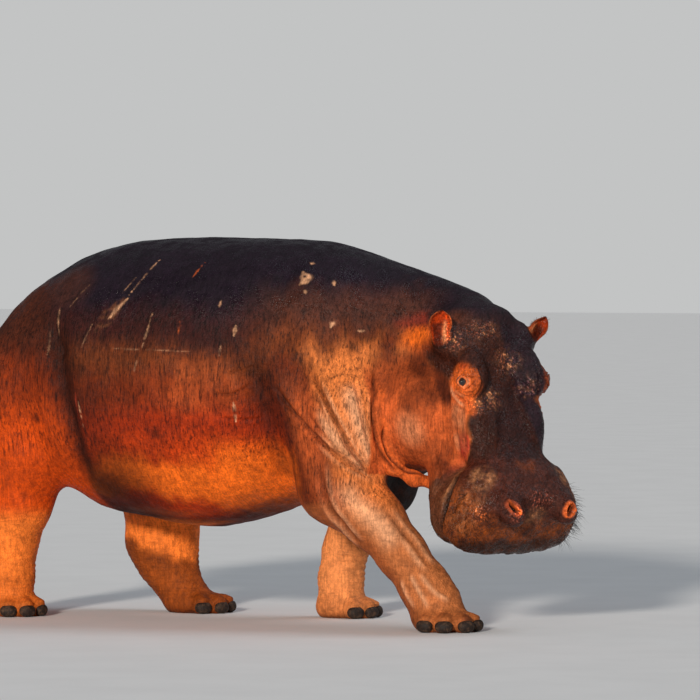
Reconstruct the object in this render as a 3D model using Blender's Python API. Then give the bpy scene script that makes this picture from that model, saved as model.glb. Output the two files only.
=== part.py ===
"""Hippopotamus in mid stride, head lowered and turned to its right.

Life size in metres. X is forward along the body, Y is the animal's left, Z is up, and the soles
stand on Z = 0. The flesh is one smooth form, parted into head, lower jaw, neck, trunk and leg
pieces by cuts GAP wide; tail, ears, eyes and toenails are fitted to it.
"""
import math

import bmesh
import bpy
import numpy as np
from mathutils import Matrix, Vector

# ------------------------------------------------------------------ driving sizes
LOINS_TO_ORIGIN = 0.395     # body stations are measured from the loins, this far behind the origin
GAP = 0.0004                # clearance between two touching pieces
EYE_RADIUS = 0.024
VOXEL = 0.020
BODY_SHARE = 0.0480          # share of the fine mesh's triangles that the body keeps

# station, half width, underside, top, squareness, shift to the left
TRUNK = [
    (-0.87, 0.320, 0.600, 1.080, 2.00, 0.00),
    (-0.72, 0.395, 0.570, 1.180, 2.05, 0.00),
    (-0.56, 0.445, 0.600, 1.300, 2.10, 0.00),
    (-0.46, 0.473, 0.562, 1.358, 2.12, 0.00),
    (-0.36, 0.500, 0.455, 1.408, 2.15, 0.00),
    (-0.12, 0.535, 0.385, 1.464, 2.20, 0.00),
    (0.12, 0.545, 0.358, 1.474, 2.20, 0.00),
    (0.35, 0.522, 0.400, 1.464, 2.20, 0.00),
    (0.55, 0.470, 0.465, 1.457, 2.20, 0.00),
    (0.75, 0.395, 0.520, 1.428, 2.20, 0.00),
    (0.93, 0.312, 0.560, 1.373, 2.10, 0.01),
    (1.10, 0.248, 0.600, 1.318, 2.00, 0.02),
    (1.24, 0.225, 0.650, 1.270, 2.00, 0.00),
    (1.40, 0.215, 0.720, 1.205, 2.00, -0.06),
]
# the head's own axes: forward to the nose, left, and up through the brow; zero is midway
# between the eyes
HEAD_AT = (1.436, -0.150, 0.9435)
HEAD_YAW, HEAD_PITCH = -26.0, -57.0
CRANIUM = [
    (-0.36, 0.170, -0.36, 0.070, 2.2),
    (-0.26, 0.195, -0.36, 0.078, 2.3),
    (-0.14, 0.190, -0.30, 0.050, 2.3),
    (-0.02, 0.155, -0.25, 0.010, 2.2),
    (0.10, 0.120, -0.25, -0.022, 2.2),
    (0.22, 0.115, -0.24, -0.040, 2.2),
    (0.36, 0.145, -0.25, -0.048, 2.3),
    (0.46, 0.175, -0.28, -0.048, 2.4),
]
MUZZLE = [
    (0.26, 0.200, -0.260, -0.080, 2.3),
    (0.34, 0.255, -0.300, -0.060, 2.5),
    (0.42, 0.276, -0.330, -0.050, 2.7),
    (0.50, 0.266, -0.347, -0.048, 3.0),
    (0.562, 0.248, -0.338, -0.058, 3.3),
]
JAW = [
    (-0.20, 0.170, -0.490, -0.16, 2.2),
    (-0.08, 0.210, -0.500, -0.14, 2.3),
    (0.06, 0.215, -0.468, -0.15, 2.4),
    (0.20, 0.225, -0.405, -0.18, 2.4),
    (0.32, 0.255, -0.415, -0.20, 2.6),
    (0.42, 0.264, -0.440, -0.20, 2.8),
    (0.52, 0.235, -0.415, -0.22, 2.8),
]
# rear end, front end, and squareness of each loft's closing caps, then how far its front leans
# and how much narrower its top is than its underside
LOFT_ENDS = {"trunk": (0.26, 0.14, 2.0, 0.0, 0.0), "cranium": (0.12, 0.10, 2.0, 0.0, 0.0),
             "muzzle": (0.12, 0.082, 3.0, 0.25, 0.20), "jaw": (0.12, 0.10, 2.6, 0.0, 0.0)}
# the breast hangs forward between the forelegs: centre and radii
BREAST = ((0.87, 0.0, 0.555), (0.112, 0.170, 0.152))
# swellings on both sides of the head: centre, radii, yaw and pitch, blend width
SWELLINGS = {
    "cheek": ((-0.06, 0.195, -0.335), (0.195, 0.118, 0.200), (0, -25), 0.04),
    "zygoma": ((0.07, 0.120, -0.125), (0.20, 0.075, 0.11), (0, 0), 0.05),
    "eye_mound": ((0.010, 0.150, -0.005), (0.056, 0.060, 0.053), (0, 0), 0.03),
    "brow": ((-0.055, 0.128, 0.012), (0.070, 0.050, 0.042), (-10, 0), 0.05),
    "ear_root": ((-0.178, 0.166, -0.014), (0.066, 0.064, 0.056), (0, 0), 0.04),
    "nostril": ((0.525, 0.122, -0.075), (0.065, 0.050, 0.045), (0, 0), 0.05),
}
# a roll of loose skin hung behind the cheek and under the throat: head's axes, then radius
THROAT_ROLL = [(-0.12, 0.328, -0.300, 0.015), (-0.03, 0.324, -0.370, 0.018),
               (0.04, 0.305, -0.432, 0.019), (0.11, 0.262, -0.450, 0.020),
               (0.165, 0.200, -0.443, 0.021), (0.200, 0.110, -0.424, 0.022),
               (0.205, -0.010, -0.424, 0.022)]
EYE_AT = (0.012, 0.190, 0.004)
NAIL_RADII, NAIL_REACH, NAIL_HEIGHT = (0.025, 0.034, 0.0240), 0.030, 0.0245
EAR_BASE = (-0.172, 0.208, -0.030)
# by side, right then left: the tip, and how far the hollow looks forward and outward
EAR_TIP = {-1: (-0.228, 0.250, 0.100), 1: (-0.208, 0.246, 0.084)}
EAR_FACING = {-1: (0.75, 0.25), 1: (0.70, -0.55)}
EAR_HALF_WIDTH, EAR_HALF_DEPTH = 0.038, 0.024
# down each limb: station, left, height, radius; then the foot's place, turn and size
LIMBS = {
    "fore_right": [(0.82, -0.27, 0.80, 0.19), (0.822, -0.275, 0.54, 0.156),
                   (0.965, -0.27, 0.41, 0.108), (1.076, -0.262, 0.285, 0.090),
                   (1.167, -0.256, 0.165, 0.088), (1.212, -0.252, 0.100, 0.103)],
    "fore_left": [(0.68, 0.27, 0.80, 0.19), (0.66, 0.28, 0.57, 0.145), (0.60, 0.27, 0.40, 0.10),
                  (0.558, 0.262, 0.27, 0.083), (0.54, 0.258, 0.15, 0.080),
                  (0.54, 0.255, 0.08, 0.080)],
    "hind_right": [(-0.60, -0.275, 0.84, 0.215), (-0.54, -0.28, 0.635, 0.162),
                   (-0.595, -0.275, 0.44, 0.125), (-0.65, -0.26, 0.29, 0.112),
                   (-0.655, -0.255, 0.17, 0.096), (-0.66, -0.25, 0.08, 0.092)],
    "hind_left": [(-0.52, 0.265, 0.84, 0.22), (-0.31, 0.28, 0.60, 0.18), (-0.27, 0.28, 0.43, 0.150),
                  (-0.270, 0.275, 0.28, 0.138), (-0.240, 0.27, 0.19, 0.112),
                  (-0.195, 0.262, 0.12, 0.086), (-0.15, 0.255, 0.08, 0.080)],
}
FEET = {"fore_right": (1.246, -0.25, -46.0, 1.02), "fore_left": (0.552, 0.255, 12.0, 0.84),
        "hind_right": (-0.655, -0.25, -10.0, 0.90), "hind_left": (-0.110, 0.255, 5.0, 0.94)}
TOES = [(-50.0, 0.100), (-17.0, 0.116), (17.0, 0.116), (50.0, 0.100)]   # spread, reach
TOE_RADII = (0.046, 0.036, 0.040)
LIMB_FLATNESS = 0.95
TAIL = [(-0.80, 0.0, 1.03, 0.050), (-0.875, 0.0, 0.965, 0.045), (-0.915, 0.0, 0.85, 0.034),
        (-0.925, 0.0, 0.72, 0.026), (-0.930, 0.0, 0.66, 0.018)]
# rear and front of the block that parts each leg; its top runs just under the belly, and the
# right foreleg's front edge skirts the jaw
LEG_SPAN = {"fore_right": (0.64, 1.10), "fore_left": (0.435, 0.86),
            "hind_right": (-0.90, -0.42), "hind_left": (-0.50, -0.105)}
FRONT_EDGE = {"fore_right": [(1.175, 0.345), (1.29, 0.225), (1.46, 0.17)],
              "hind_left": [(-0.09, 0.25), (0.07, 0.15)]}
UNDER_BELLY = 0.012
KNEE_HEIGHT = {"fore_right": 0.30, "fore_left": 0.30, "hind_right": 0.32, "hind_left": 0.28}
ANKLE_HEIGHT = {"fore_right": 0.125, "fore_left": 0.11, "hind_right": 0.115, "hind_left": 0.105}
NECK_START = (0.84, 0.0, 0.95)
# the head in side view, in its own axes: behind the poll, down past the jaw's angle, then
# forward between jaw and throat
HEAD_OUTLINE = [(-0.28, 0.35), (-0.28, -0.56), (-0.10, -0.535), (0.05, -0.495), (0.15, -0.455),
                (0.22, -0.60), (0.85, -0.60), (0.85, 0.35)]
# the lower jaw in side view, in the head's axes: along the lips, then down behind their corner
JAW_OUTLINE = [(0.185, -0.175), (0.31, -0.215), (0.39, -0.290), (0.47, -0.362), (0.60, -0.385),
               (0.75, -0.385), (0.75, -0.62), (0.14, -0.62)]


# ------------------------------------------------------------------ the flesh as one smooth form
def turn(yaw=0.0, pitch=0.0):
    """Rows are a part's forward, left and up axes; yaw turns left, pitch raises the front."""
    y, p = math.radians(yaw), math.radians(pitch)
    across = np.array([[math.cos(y), -math.sin(y), 0], [math.sin(y), math.cos(y), 0], [0, 0, 1]])
    raised = np.array([[math.cos(p), 0, -math.sin(p)], [0, 1, 0], [math.sin(p), 0, math.cos(p)]])
    return (across @ raised).T


HEAD_AXES = turn(HEAD_YAW, HEAD_PITCH)


def along(s, stations, values):
    """Smooth curve through the stations' values, a cubic with averaged slopes, read at s."""
    xs, ys = np.asarray(stations, float), np.asarray(values, float)
    rise = np.diff(ys) / np.diff(xs)
    slope = np.concatenate([rise[:1], (rise[:-1] + rise[1:]) / 2, rise[-1:]])
    s = np.clip(s, xs[0], xs[-1])
    i = np.clip(np.searchsorted(xs, s) - 1, 0, len(xs) - 2)
    w = xs[i + 1] - xs[i]
    t = (s - xs[i]) / w
    a, b = t * t * (3 - 2 * t), t * (1 - t)
    ease = b * w * ((1 - t) * slope[i] - t * slope[i + 1])
    return ys[i] * (1 - a) + ys[i + 1] * a + ease


def blend(a, b, width):
    """The nearer of two distances, rounded where they are within width of each other."""
    h = np.maximum(width - np.abs(a - b), 0) / width
    return np.minimum(a, b) - h * h * width / 4


def section(table, s):
    """Half width, underside, top, squareness and shift at station s."""
    t = np.array(table, float).T
    return [along(s, t[0], row) for row in t[1:]] + [0.0] * (6 - len(t))


def loft(p, table, ends):
    """Distance to a form whose sections are rounded squares, closed by rounded caps."""
    rear, front, power, lean, taper = ends
    s, v, w = p.T
    half, low, high, square, shift = section(table, s)
    mid, tall = (low + high) / 2, (high - low) / 2
    half = half * (1 - taper * np.clip((w - mid) / tall, -1, 1))
    q = (np.abs((v - shift) / half) ** square + np.abs((w - mid) / tall) ** square) ** (1 / square)
    s = s + lean * (w - mid)
    over = np.maximum((table[0][0] + rear - s) / rear, (s - table[-1][0] + front) / front)
    q = (q ** power + np.maximum(over, 0) ** power) ** (1 / power)
    return (q - 1) * np.minimum(half, tall)


def egg(p, centre, radii, axes=None):
    """Distance to an ellipsoid, scaled true near its surface."""
    d = p - np.asarray(centre, float)
    if axes is not None:
        d = d @ axes.T
    r = np.asarray(radii, float)
    k0 = np.sqrt(((d / r) ** 2).sum(1))
    k1 = np.sqrt(((d / r ** 2) ** 2).sum(1)) + 1e-9
    return k0 * (k0 - 1) / k1


def limb(p, nodes, flatness, width=0.04):
    """Distance to a chain of tapering round bars, pressed flat from side to side."""
    chain = np.array(nodes, float)
    out = None
    for a, b in zip(chain[:-1], chain[1:]):
        ab = b[:3] - a[:3]
        t = np.clip(((p - a[:3]) @ ab) / (ab @ ab), 0, 1)
        d = p - (a[:3] + t[:, None] * ab)
        reach = np.sqrt(d[:, 0] ** 2 + (d[:, 1] / flatness) ** 2 + d[:, 2] ** 2)
        bar = (reach - a[3] - t * (b[3] - a[3])) * (flatness + 1) / 2
        out = bar if out is None else blend(out, bar, width)
    return out


def toe_places(foot):
    """Centre and heading of each toe of a foot."""
    x, y, yaw, size = FEET[foot]
    for spread, reach in TOES:
        a = math.radians(yaw + spread)
        yield (x + size * reach * math.cos(a), y + size * reach * math.sin(a)), yaw + spread


def leg(p, name):
    """Distance to one limb with its pad and toes."""
    x, y, yaw, size = FEET[name]
    f = limb(p, LIMBS[name], LIMB_FLATNESS)
    pad = egg(p, (x, y, 0.035), (0.120 * size, 0.105 * size, 0.055), turn(yaw))
    f = blend(f, pad, 0.05)
    for place, heading in toe_places(name):
        f = blend(f, egg(p, (*place, 0.033), TOE_RADII, turn(heading)), 0.02)
    return f


def head(p):
    """Distance to the head without its ears."""
    h = (p - np.array(HEAD_AT)) @ HEAD_AXES.T
    f = blend(loft(h, CRANIUM, LOFT_ENDS["cranium"]), loft(h, JAW, LOFT_ENDS["jaw"]), 0.03)
    f = blend(f, loft(h, MUZZLE, LOFT_ENDS["muzzle"]), 0.04)
    side = np.stack([h[:, 0], np.abs(h[:, 1]), h[:, 2]], 1)
    for centre, radii, angles, width in SWELLINGS.values():
        f = blend(f, egg(side, centre, radii, turn(*angles)), width)
    return blend(f, limb(side, THROAT_ROLL, 1.0), 0.02)


def flesh(p):
    """Distance to the whole animal without ears and tail, at body stations."""
    f = blend(loft(p, TRUNK, LOFT_ENDS["trunk"]), egg(p, *BREAST), 0.06)
    for name in LIMBS:
        f = blend(f, leg(p, name), 0.10)
    return blend(f, head(p), 0.05)


def settle(p, steps=4):
    """Moves points along the form's slope until they lie on its surface."""
    taps = np.array([[1, -1, -1], [-1, -1, 1], [-1, 1, -1], [1, 1, 1]], float)
    for _ in range(steps):
        slope = sum(d * flesh(p + 0.002 * d)[:, None] for d in taps) / 0.008
        move = -(flesh(p) / np.maximum((slope ** 2).sum(1), 0.05))[:, None] * slope
        size = np.linalg.norm(move, axis=1, keepdims=True)
        p = p + move * np.minimum(1, 0.03 / np.maximum(size, 1e-9))
    return p


# ------------------------------------------------------------------ Blender helpers
def colour_material(name, colour, roughness):
    material = bpy.data.materials.new(name)
    material.use_nodes = True
    shader = material.node_tree.nodes["Principled BSDF"]
    shader.inputs["Base Color"].default_value = (*colour, 1.0)
    shader.inputs["Roughness"].default_value = roughness
    shader.inputs["Metallic"].default_value = 0.0
    return material


def add(name, mesh, material=None):
    obj = bpy.data.objects.new(name, mesh)
    bpy.context.scene.collection.objects.link(obj)
    if material:
        mesh.materials.clear()
        mesh.materials.append(material)
    return obj


def from_bmesh(name, bm, material=None):
    bmesh.ops.recalc_face_normals(bm, faces=bm.faces)
    mesh = bpy.data.meshes.new(name)
    bm.to_mesh(mesh)
    bm.free()
    return add(name, mesh, material)


def evaluated(obj):
    """The object's mesh with its modifiers worked in."""
    bpy.context.view_layer.update()
    graph = bpy.context.evaluated_depsgraph_get()
    return bpy.data.meshes.new_from_object(obj.evaluated_get(graph))


def work_in(obj):
    """Replaces the object's mesh by its evaluated one and drops the modifiers."""
    mesh = evaluated(obj)
    obj.modifiers.clear()
    obj.data = mesh


def cut(obj, tool, operation):
    modifier = obj.modifiers.new(operation.title(), "BOOLEAN")
    modifier.operation = operation
    modifier.solver = "EXACT"
    modifier.object = tool
    work_in(obj)


def take(obj, name, block, *args):
    """Parts obj by a block: what lies inside it becomes a new object, GAP away from the rest."""
    piece = add(name, obj.data.copy())
    inner, outer = block(0.0, *args), block(GAP, *args)
    cut(piece, inner, "INTERSECT")
    cut(obj, outer, "DIFFERENCE")
    for tool in (inner, outer):
        bpy.data.objects.remove(tool)
    return piece


def prism(name, outline, depth):
    """Closed solid from corner points and the vector that carries them across."""
    bm = bmesh.new()
    face = bm.faces.new([bm.verts.new(p) for p in outline])
    grown = bmesh.ops.extrude_face_region(bm, geom=[face])
    bmesh.ops.translate(bm, verts=[v for v in grown["geom"] if isinstance(v, bmesh.types.BMVert)],
                        vec=depth)
    return from_bmesh(name, bm)


def matrix_of(axes, centre, scale=(1, 1, 1)):
    turned = Matrix([list(row) for row in axes]).transposed().to_4x4()
    return Matrix.Translation(Vector(centre)) @ turned @ Matrix.Diagonal((*scale, 1))


# ------------------------------------------------------------------ rough form, then flesh
def add_loft(bm, table, ends, axes, centre, rings=22, around=24):
    """Rings of a loft, bridged and closed."""
    rear, front, power, lean, taper = ends
    first, last = table[0][0], table[-1][0]
    place = matrix_of(axes, centre)
    loops = []
    for s in (first + (last - first) * (1 - math.cos(math.pi * i / rings)) / 2
              for i in range(rings + 1)):
        half, low, high, square, shift = (float(x) for x in section(table, np.float64(s)))
        over = max((first + rear - s) / rear, (s - last + front) / front, 0.0)
        size = max(1 - over ** power, 0.02) ** (1 / power)
        ring = []
        for k in range(around):
            a = 2 * math.pi * k / around
            c, d = math.cos(a), math.sin(a)
            rise = size * math.copysign(abs(d) ** (2 / square), d)
            v = size * half * (1 - taper * rise) * math.copysign(abs(c) ** (2 / square), c) + shift
            w = rise * (high - low) / 2
            ring.append(bm.verts.new(place @ Vector((s - lean * w, v, w + (low + high) / 2))))
        loops.append(ring)
    for a, b in zip(loops[:-1], loops[1:]):
        for k in range(around):
            bm.faces.new((a[k], a[k - 1], b[k - 1], b[k]))
    bm.faces.new(loops[0])
    bm.faces.new(loops[-1][::-1])


def add_egg(bm, axes, centre, radii, subdivisions=2):
    bmesh.ops.create_icosphere(bm, subdivisions=subdivisions, radius=1.0,
                               matrix=matrix_of(axes, centre, radii))


def add_limb(bm, nodes, step=0.03):
    """Balls strung closely down a limb."""
    for a, b in zip(nodes[:-1], nodes[1:]):
        count = max(2, math.ceil(math.dist(a[:3], b[:3]) / step))
        for i in range(count + 1):
            x, y, z, r = (u + (v - u) * i / count for u, v in zip(a, b))
            add_egg(bm, np.eye(3), (x, y, z), (r, r * LIMB_FLATNESS, r), 2)


def make_flesh():
    """Joins the rough forms by voxels and settles them on the smooth form."""
    level, zero = np.eye(3), (0.0, 0.0, 0.0)
    bm = bmesh.new()
    add_loft(bm, TRUNK, LOFT_ENDS["trunk"], level, zero)
    add_egg(bm, level, *BREAST)
    for name, table in (("cranium", CRANIUM), ("muzzle", MUZZLE), ("jaw", JAW)):
        add_loft(bm, table, LOFT_ENDS[name], HEAD_AXES, HEAD_AT)
    for centre, radii, angles, _ in SWELLINGS.values():
        for hand in (1, -1):
            own = turn(*angles) * np.array([1, hand, 1])
            at = np.array(HEAD_AT) + np.array([centre[0], hand * centre[1], centre[2]]) @ HEAD_AXES
            add_egg(bm, own @ HEAD_AXES, at, radii)
    for name in LIMBS:
        x, y, yaw, size = FEET[name]
        add_limb(bm, LIMBS[name])
        add_egg(bm, turn(yaw), (x, y, 0.035), (0.120 * size, 0.105 * size, 0.055))
        for place, heading in toe_places(name):
            add_egg(bm, turn(heading), (*place, 0.033), TOE_RADII)
    flesh_object = from_bmesh("flesh", bm)
    remesh = flesh_object.modifiers.new("Join", "REMESH")
    remesh.mode = "VOXEL"
    remesh.voxel_size = VOXEL
    work_in(flesh_object)
    mesh = flesh_object.data
    points = np.empty(len(mesh.vertices) * 3, np.float32)
    mesh.vertices.foreach_get("co", points)
    points = settle(points.reshape(-1, 3).astype(float))
    mesh.vertices.foreach_set("co", points.astype(np.float32).ravel())
    mesh.update()
    thin = flesh_object.modifiers.new("Thin", "DECIMATE")
    thin.ratio = BODY_SHARE
    work_in(flesh_object)
    ground = prism("ground", [(-2, -1, -0.5), (2, -1, -0.5), (2, 1, -0.5), (-2, 1, -0.5)],
                   (0, 0, 0.5))
    cut(flesh_object, ground, "DIFFERENCE")
    bpy.data.objects.remove(ground)
    return flesh_object


# ------------------------------------------------------------------ blocks that part the flesh
def grown(outline, grow):
    """The outline pushed out from its middle, by grow where it is 0.12 away."""
    points = np.array(outline, float)
    return points + (points - points.mean(0)) * grow / 0.12


def leg_block(grow, name):
    """Block round a leg: in side view its top follows the belly, and it spans one side."""
    rear, front = LEG_SPAN[name]
    stations = np.linspace(rear, front, 5)
    top = list(zip(stations, section(TRUNK, stations)[1] - UNDER_BELLY))
    edge = FRONT_EDGE.get(name, [])
    ground_front = edge[-1][0] if edge else front
    outline = [(rear, -0.1)] + top + edge + [(ground_front, -0.1)]
    hand = -1 if name.endswith("right") else 1
    corners = [(x, hand * (0.02 - grow), z) for x, z in grown(outline, grow)]
    return prism("block", corners, (0, hand * 0.7, 0))


def level_block(grow, height):
    """Everything under a height."""
    corners = [(-2, -1, -0.1), (2, -1, -0.1), (2, 1, -0.1), (-2, 1, -0.1)]
    return prism("block", corners, (0, 0, height + 0.1 + grow))


def neck_block(grow):
    """Everything ahead of an upright plane before the shoulders, leaned forward at its top."""
    f, l, u = turn(-4.0, -12.0)
    at = np.array(NECK_START) - f * grow
    corners = [at + l * a + u * b for a, b in ((-1, -1.2), (1, -1.2), (1, 1), (-1, 1))]
    return prism("block", corners, f * 2)


def head_prism(outline, half_width, grow):
    """A side-view outline in the head's axes, carried across the head."""
    side = half_width + grow
    corners = [np.array(HEAD_AT) + np.array([u, -side, w]) @ HEAD_AXES
               for u, w in grown(outline, grow)]
    return prism("block", corners, HEAD_AXES[1] * 2 * side)


def head_block(grow):
    return head_prism(HEAD_OUTLINE, 0.35, grow)


def jaw_block(grow):
    return head_prism(JAW_OUTLINE, 0.45, grow)


# ------------------------------------------------------------------ fitted pieces
def head_place(point, hand):
    return np.array(HEAD_AT) + np.array([point[0], hand * point[1], point[2]]) @ HEAD_AXES


def ear_axes(hand):
    """Ear's own axes: along it, across it, and out of its back."""
    along_ear = head_place(EAR_TIP[hand], hand) - head_place(EAR_BASE, hand)
    along_ear /= np.linalg.norm(along_ear)
    outward = HEAD_AXES[1] * hand
    ahead, aside = EAR_FACING[hand]
    back = -HEAD_AXES[0] * ahead - outward * aside
    back -= along_ear * (back @ along_ear)
    back /= np.linalg.norm(back)
    return np.array([along_ear, np.cross(back, along_ear), back])


def make_ear(name, hand, body, material):
    """A cupped leaf: an egg hollowed by a smaller one, cut to the head."""
    axes = ear_axes(hand)
    base, tip = head_place(EAR_BASE, hand), head_place(EAR_TIP[hand], hand)
    length = np.linalg.norm(tip - base)
    middle = (base + tip) / 2
    bm = bmesh.new()
    add_egg(bm, axes, middle, (length / 2, EAR_HALF_WIDTH, EAR_HALF_DEPTH), 2)
    ear = from_bmesh(name, bm, material)
    bm = bmesh.new()
    add_egg(bm, axes, middle + axes[0] * 0.010 - axes[2] * 0.016,
            (length / 2 - 0.016, EAR_HALF_WIDTH - 0.009, EAR_HALF_DEPTH - 0.005), 2)
    hollow = from_bmesh("hollow", bm)
    cut(ear, hollow, "DIFFERENCE")
    cut(ear, body, "DIFFERENCE")
    bpy.data.objects.remove(hollow)
    clear = (axes[0] + HEAD_AXES[1] * hand * 0.7) * GAP * 1.8
    ear.data.transform(Matrix.Translation(Vector(clear)))
    return ear


def eye_form(name, hand, grow, material=None):
    bm = bmesh.new()
    add_egg(bm, np.eye(3), head_place(EYE_AT, hand), (EYE_RADIUS + grow,) * 3, 2)
    return from_bmesh(name, bm, material)


def make_tail(body, material):
    """A short tail, flattened towards its tip, cut to the rump."""
    bm = bmesh.new()
    count = 9
    rings = []
    heights = [node[2] for node in TAIL][::-1]
    for i in range(count):
        z = TAIL[0][2] + (TAIL[-1][2] - TAIL[0][2]) * i / (count - 1)
        x, r = (float(along(z, heights, [node[k] for node in TAIL][::-1])) for k in (0, 3))
        squeeze = 0.62 + 0.38 * (1 - i / (count - 1))
        ring = []
        for k in range(12):
            a = 2 * math.pi * k / 12
            place = (x + r * math.cos(a), r * squeeze * math.sin(a), z + 0.35 * r * math.cos(a))
            ring.append(bm.verts.new(place))
        rings.append(ring)
    for a, b in zip(rings[:-1], rings[1:]):
        for k in range(12):
            bm.faces.new((a[k], a[k - 1], b[k - 1], b[k]))
    for ring, drop in ((rings[0], 0.0), (rings[-1], -0.012)):
        middle = sum((v.co for v in ring), Vector()) / 12 + Vector((0, 0, drop))
        tip = bm.verts.new(middle)
        for k in range(12):
            bm.faces.new((ring[k], ring[k - 1], tip))
    tail = from_bmesh("tail", bm, material)
    cut(tail, body, "DIFFERENCE")
    keep_largest(tail)
    tail.data.transform(Matrix.Translation(Vector((-GAP * 1.3, 0, -GAP * 0.6))))
    return tail


def keep_largest(obj):
    """Drops all but the biggest loose part."""
    bm = bmesh.new()
    bm.from_mesh(obj.data)
    groups, seen = [], set()
    for start in bm.verts:
        if start in seen:
            continue
        group, queue = [], [start]
        seen.add(start)
        while queue:
            vert = queue.pop()
            group.append(vert)
            for edge in vert.link_edges:
                other = edge.other_vert(vert)
                if other not in seen:
                    seen.add(other)
                    queue.append(other)
        groups.append(group)
    groups.sort(key=len)
    for group in groups[:-1]:
        bmesh.ops.delete(bm, geom=group, context="VERTS")
    bm.to_mesh(obj.data)
    bm.free()


def nail_form(name, place, heading, grow, material=None):
    """A blunt hoof-like nail on the front of a toe."""
    axes = turn(heading)
    centre = np.array([*place, NAIL_HEIGHT]) + axes[0] * NAIL_REACH
    bm = bmesh.new()
    bmesh.ops.create_uvsphere(bm, u_segments=10, v_segments=5, radius=1.0,
                              matrix=matrix_of(axes, centre, [r + grow for r in NAIL_RADII]))
    return from_bmesh(name, bm, material)


def fit(body, form, name, material, *args):
    """Beds a whole form in the body it sits in, GAP away all round."""
    bed = form("bed", *args, GAP)
    cut(body, bed, "DIFFERENCE")
    bpy.data.objects.remove(bed)
    return form(name, *args, 0.0, material)


# ------------------------------------------------------------------ the whole animal
def main():
    for obj in list(bpy.data.objects):
        bpy.data.objects.remove(obj)
    hide = colour_material("hide", (0.16, 0.055, 0.028), 0.45)
    dark_hide = colour_material("muzzle_hide", (0.05, 0.022, 0.015), 0.35)
    ear_hide = colour_material("ear_hide", (0.33, 0.11, 0.045), 0.5)
    eye = colour_material("eye", (0.012, 0.008, 0.006), 0.08)
    horn = colour_material("horn", (0.02, 0.014, 0.012), 0.4)

    trunk = make_flesh()
    trunk.name = "trunk"
    pieces = [trunk]
    feet = {}
    for name in LIMBS:
        side = name.split("_")
        limb_name = f"{side[0]}leg_{side[1]}"
        upper = take(trunk, limb_name + "_upper", leg_block, name)
        foot = take(upper, limb_name + "_foot", level_block, ANKLE_HEIGHT[name])
        lower = take(upper, limb_name + "_lower", level_block, KNEE_HEIGHT[name])
        pieces += [upper, lower, foot]
        feet[name] = foot
    skull = take(trunk, "head", head_block)
    neck = take(trunk, "neck", neck_block)
    jaw = take(skull, "lower_jaw", jaw_block)
    pieces += [skull, neck, jaw]

    fitted = []
    for side, hand in (("right", -1), ("left", 1)):
        fitted.append(make_ear("ear_" + side, hand, skull, ear_hide))
        fitted.append(fit(skull, eye_form, "eye_" + side, eye, hand))
    fitted.append(make_tail(trunk, hide))
    for name in LIMBS:
        side = name.split("_")
        for i, (place, heading) in enumerate(toe_places(name)):
            nail_name = f"{side[0]}nail_{side[1]}_{i + 1}"
            fitted.append(fit(feet[name], nail_form, nail_name, horn, place, heading))
    for piece in pieces:
        piece.data.materials.clear()
        piece.data.materials.append(dark_hide if piece.name in ("head", "lower_jaw") else hide)
    for piece in pieces + fitted:
        piece.data.transform(Matrix.Translation((-LOINS_TO_ORIGIN, 0, 0)))
        piece.data.shade_smooth()
        piece.data.set_sharp_from_angle(angle=math.radians(40))


if __name__ == "__main__":
    main()
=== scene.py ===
"""Dresses the hippopotamus: one skin over all its flesh, wet eyes, toenails and bristles.

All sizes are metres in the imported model's frame: X forward, Y the animal's left, Z up. The skin
is worked out in body stations, which start at the loins, and moved to the frame at the end.
"""
import math
from functools import lru_cache, partial, reduce
from types import SimpleNamespace

import bpy
import numpy as np
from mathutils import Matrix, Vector


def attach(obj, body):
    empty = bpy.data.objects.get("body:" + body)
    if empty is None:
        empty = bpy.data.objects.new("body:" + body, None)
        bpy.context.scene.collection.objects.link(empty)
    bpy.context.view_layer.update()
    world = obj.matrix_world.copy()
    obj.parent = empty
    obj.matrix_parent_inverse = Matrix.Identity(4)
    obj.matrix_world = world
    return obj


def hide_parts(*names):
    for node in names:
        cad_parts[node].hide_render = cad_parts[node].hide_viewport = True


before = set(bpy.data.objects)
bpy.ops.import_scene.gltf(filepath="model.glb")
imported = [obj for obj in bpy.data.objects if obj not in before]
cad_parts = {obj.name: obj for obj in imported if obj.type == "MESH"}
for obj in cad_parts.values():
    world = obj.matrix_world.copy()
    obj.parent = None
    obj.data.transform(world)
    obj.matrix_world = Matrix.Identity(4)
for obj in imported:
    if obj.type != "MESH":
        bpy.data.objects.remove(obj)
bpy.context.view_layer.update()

bl_info = {
    "name": "Hippopotamus skin",
    "version": (1, 0, 0),
    "blender": (4, 5, 0),
    "location": "View3D > Sidebar > Hippopotamus",
    "description": "Skin, eyes, toenails, bristles and a studio for the hippopotamus",
    "category": "Object",
}

# ---------- the body's named sizes
LOINS_TO_ORIGIN = 0.395
EYE_RADIUS = 0.024

# station, half width, underside, top, squareness, shift to the left
TRUNK = [
    (-0.87, 0.320, 0.600, 1.080, 2.00, 0.00),
    (-0.72, 0.395, 0.570, 1.180, 2.05, 0.00),
    (-0.56, 0.445, 0.600, 1.300, 2.10, 0.00),
    (-0.46, 0.473, 0.562, 1.358, 2.12, 0.00),
    (-0.36, 0.500, 0.455, 1.408, 2.15, 0.00),
    (-0.12, 0.535, 0.385, 1.464, 2.20, 0.00),
    (0.12, 0.545, 0.358, 1.474, 2.20, 0.00),
    (0.35, 0.522, 0.400, 1.464, 2.20, 0.00),
    (0.55, 0.470, 0.465, 1.457, 2.20, 0.00),
    (0.75, 0.395, 0.520, 1.428, 2.20, 0.00),
    (0.93, 0.312, 0.560, 1.373, 2.10, 0.01),
    (1.10, 0.248, 0.600, 1.318, 2.00, 0.02),
    (1.24, 0.225, 0.650, 1.270, 2.00, 0.00),
    (1.40, 0.215, 0.720, 1.205, 2.00, -0.06),
]
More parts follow.
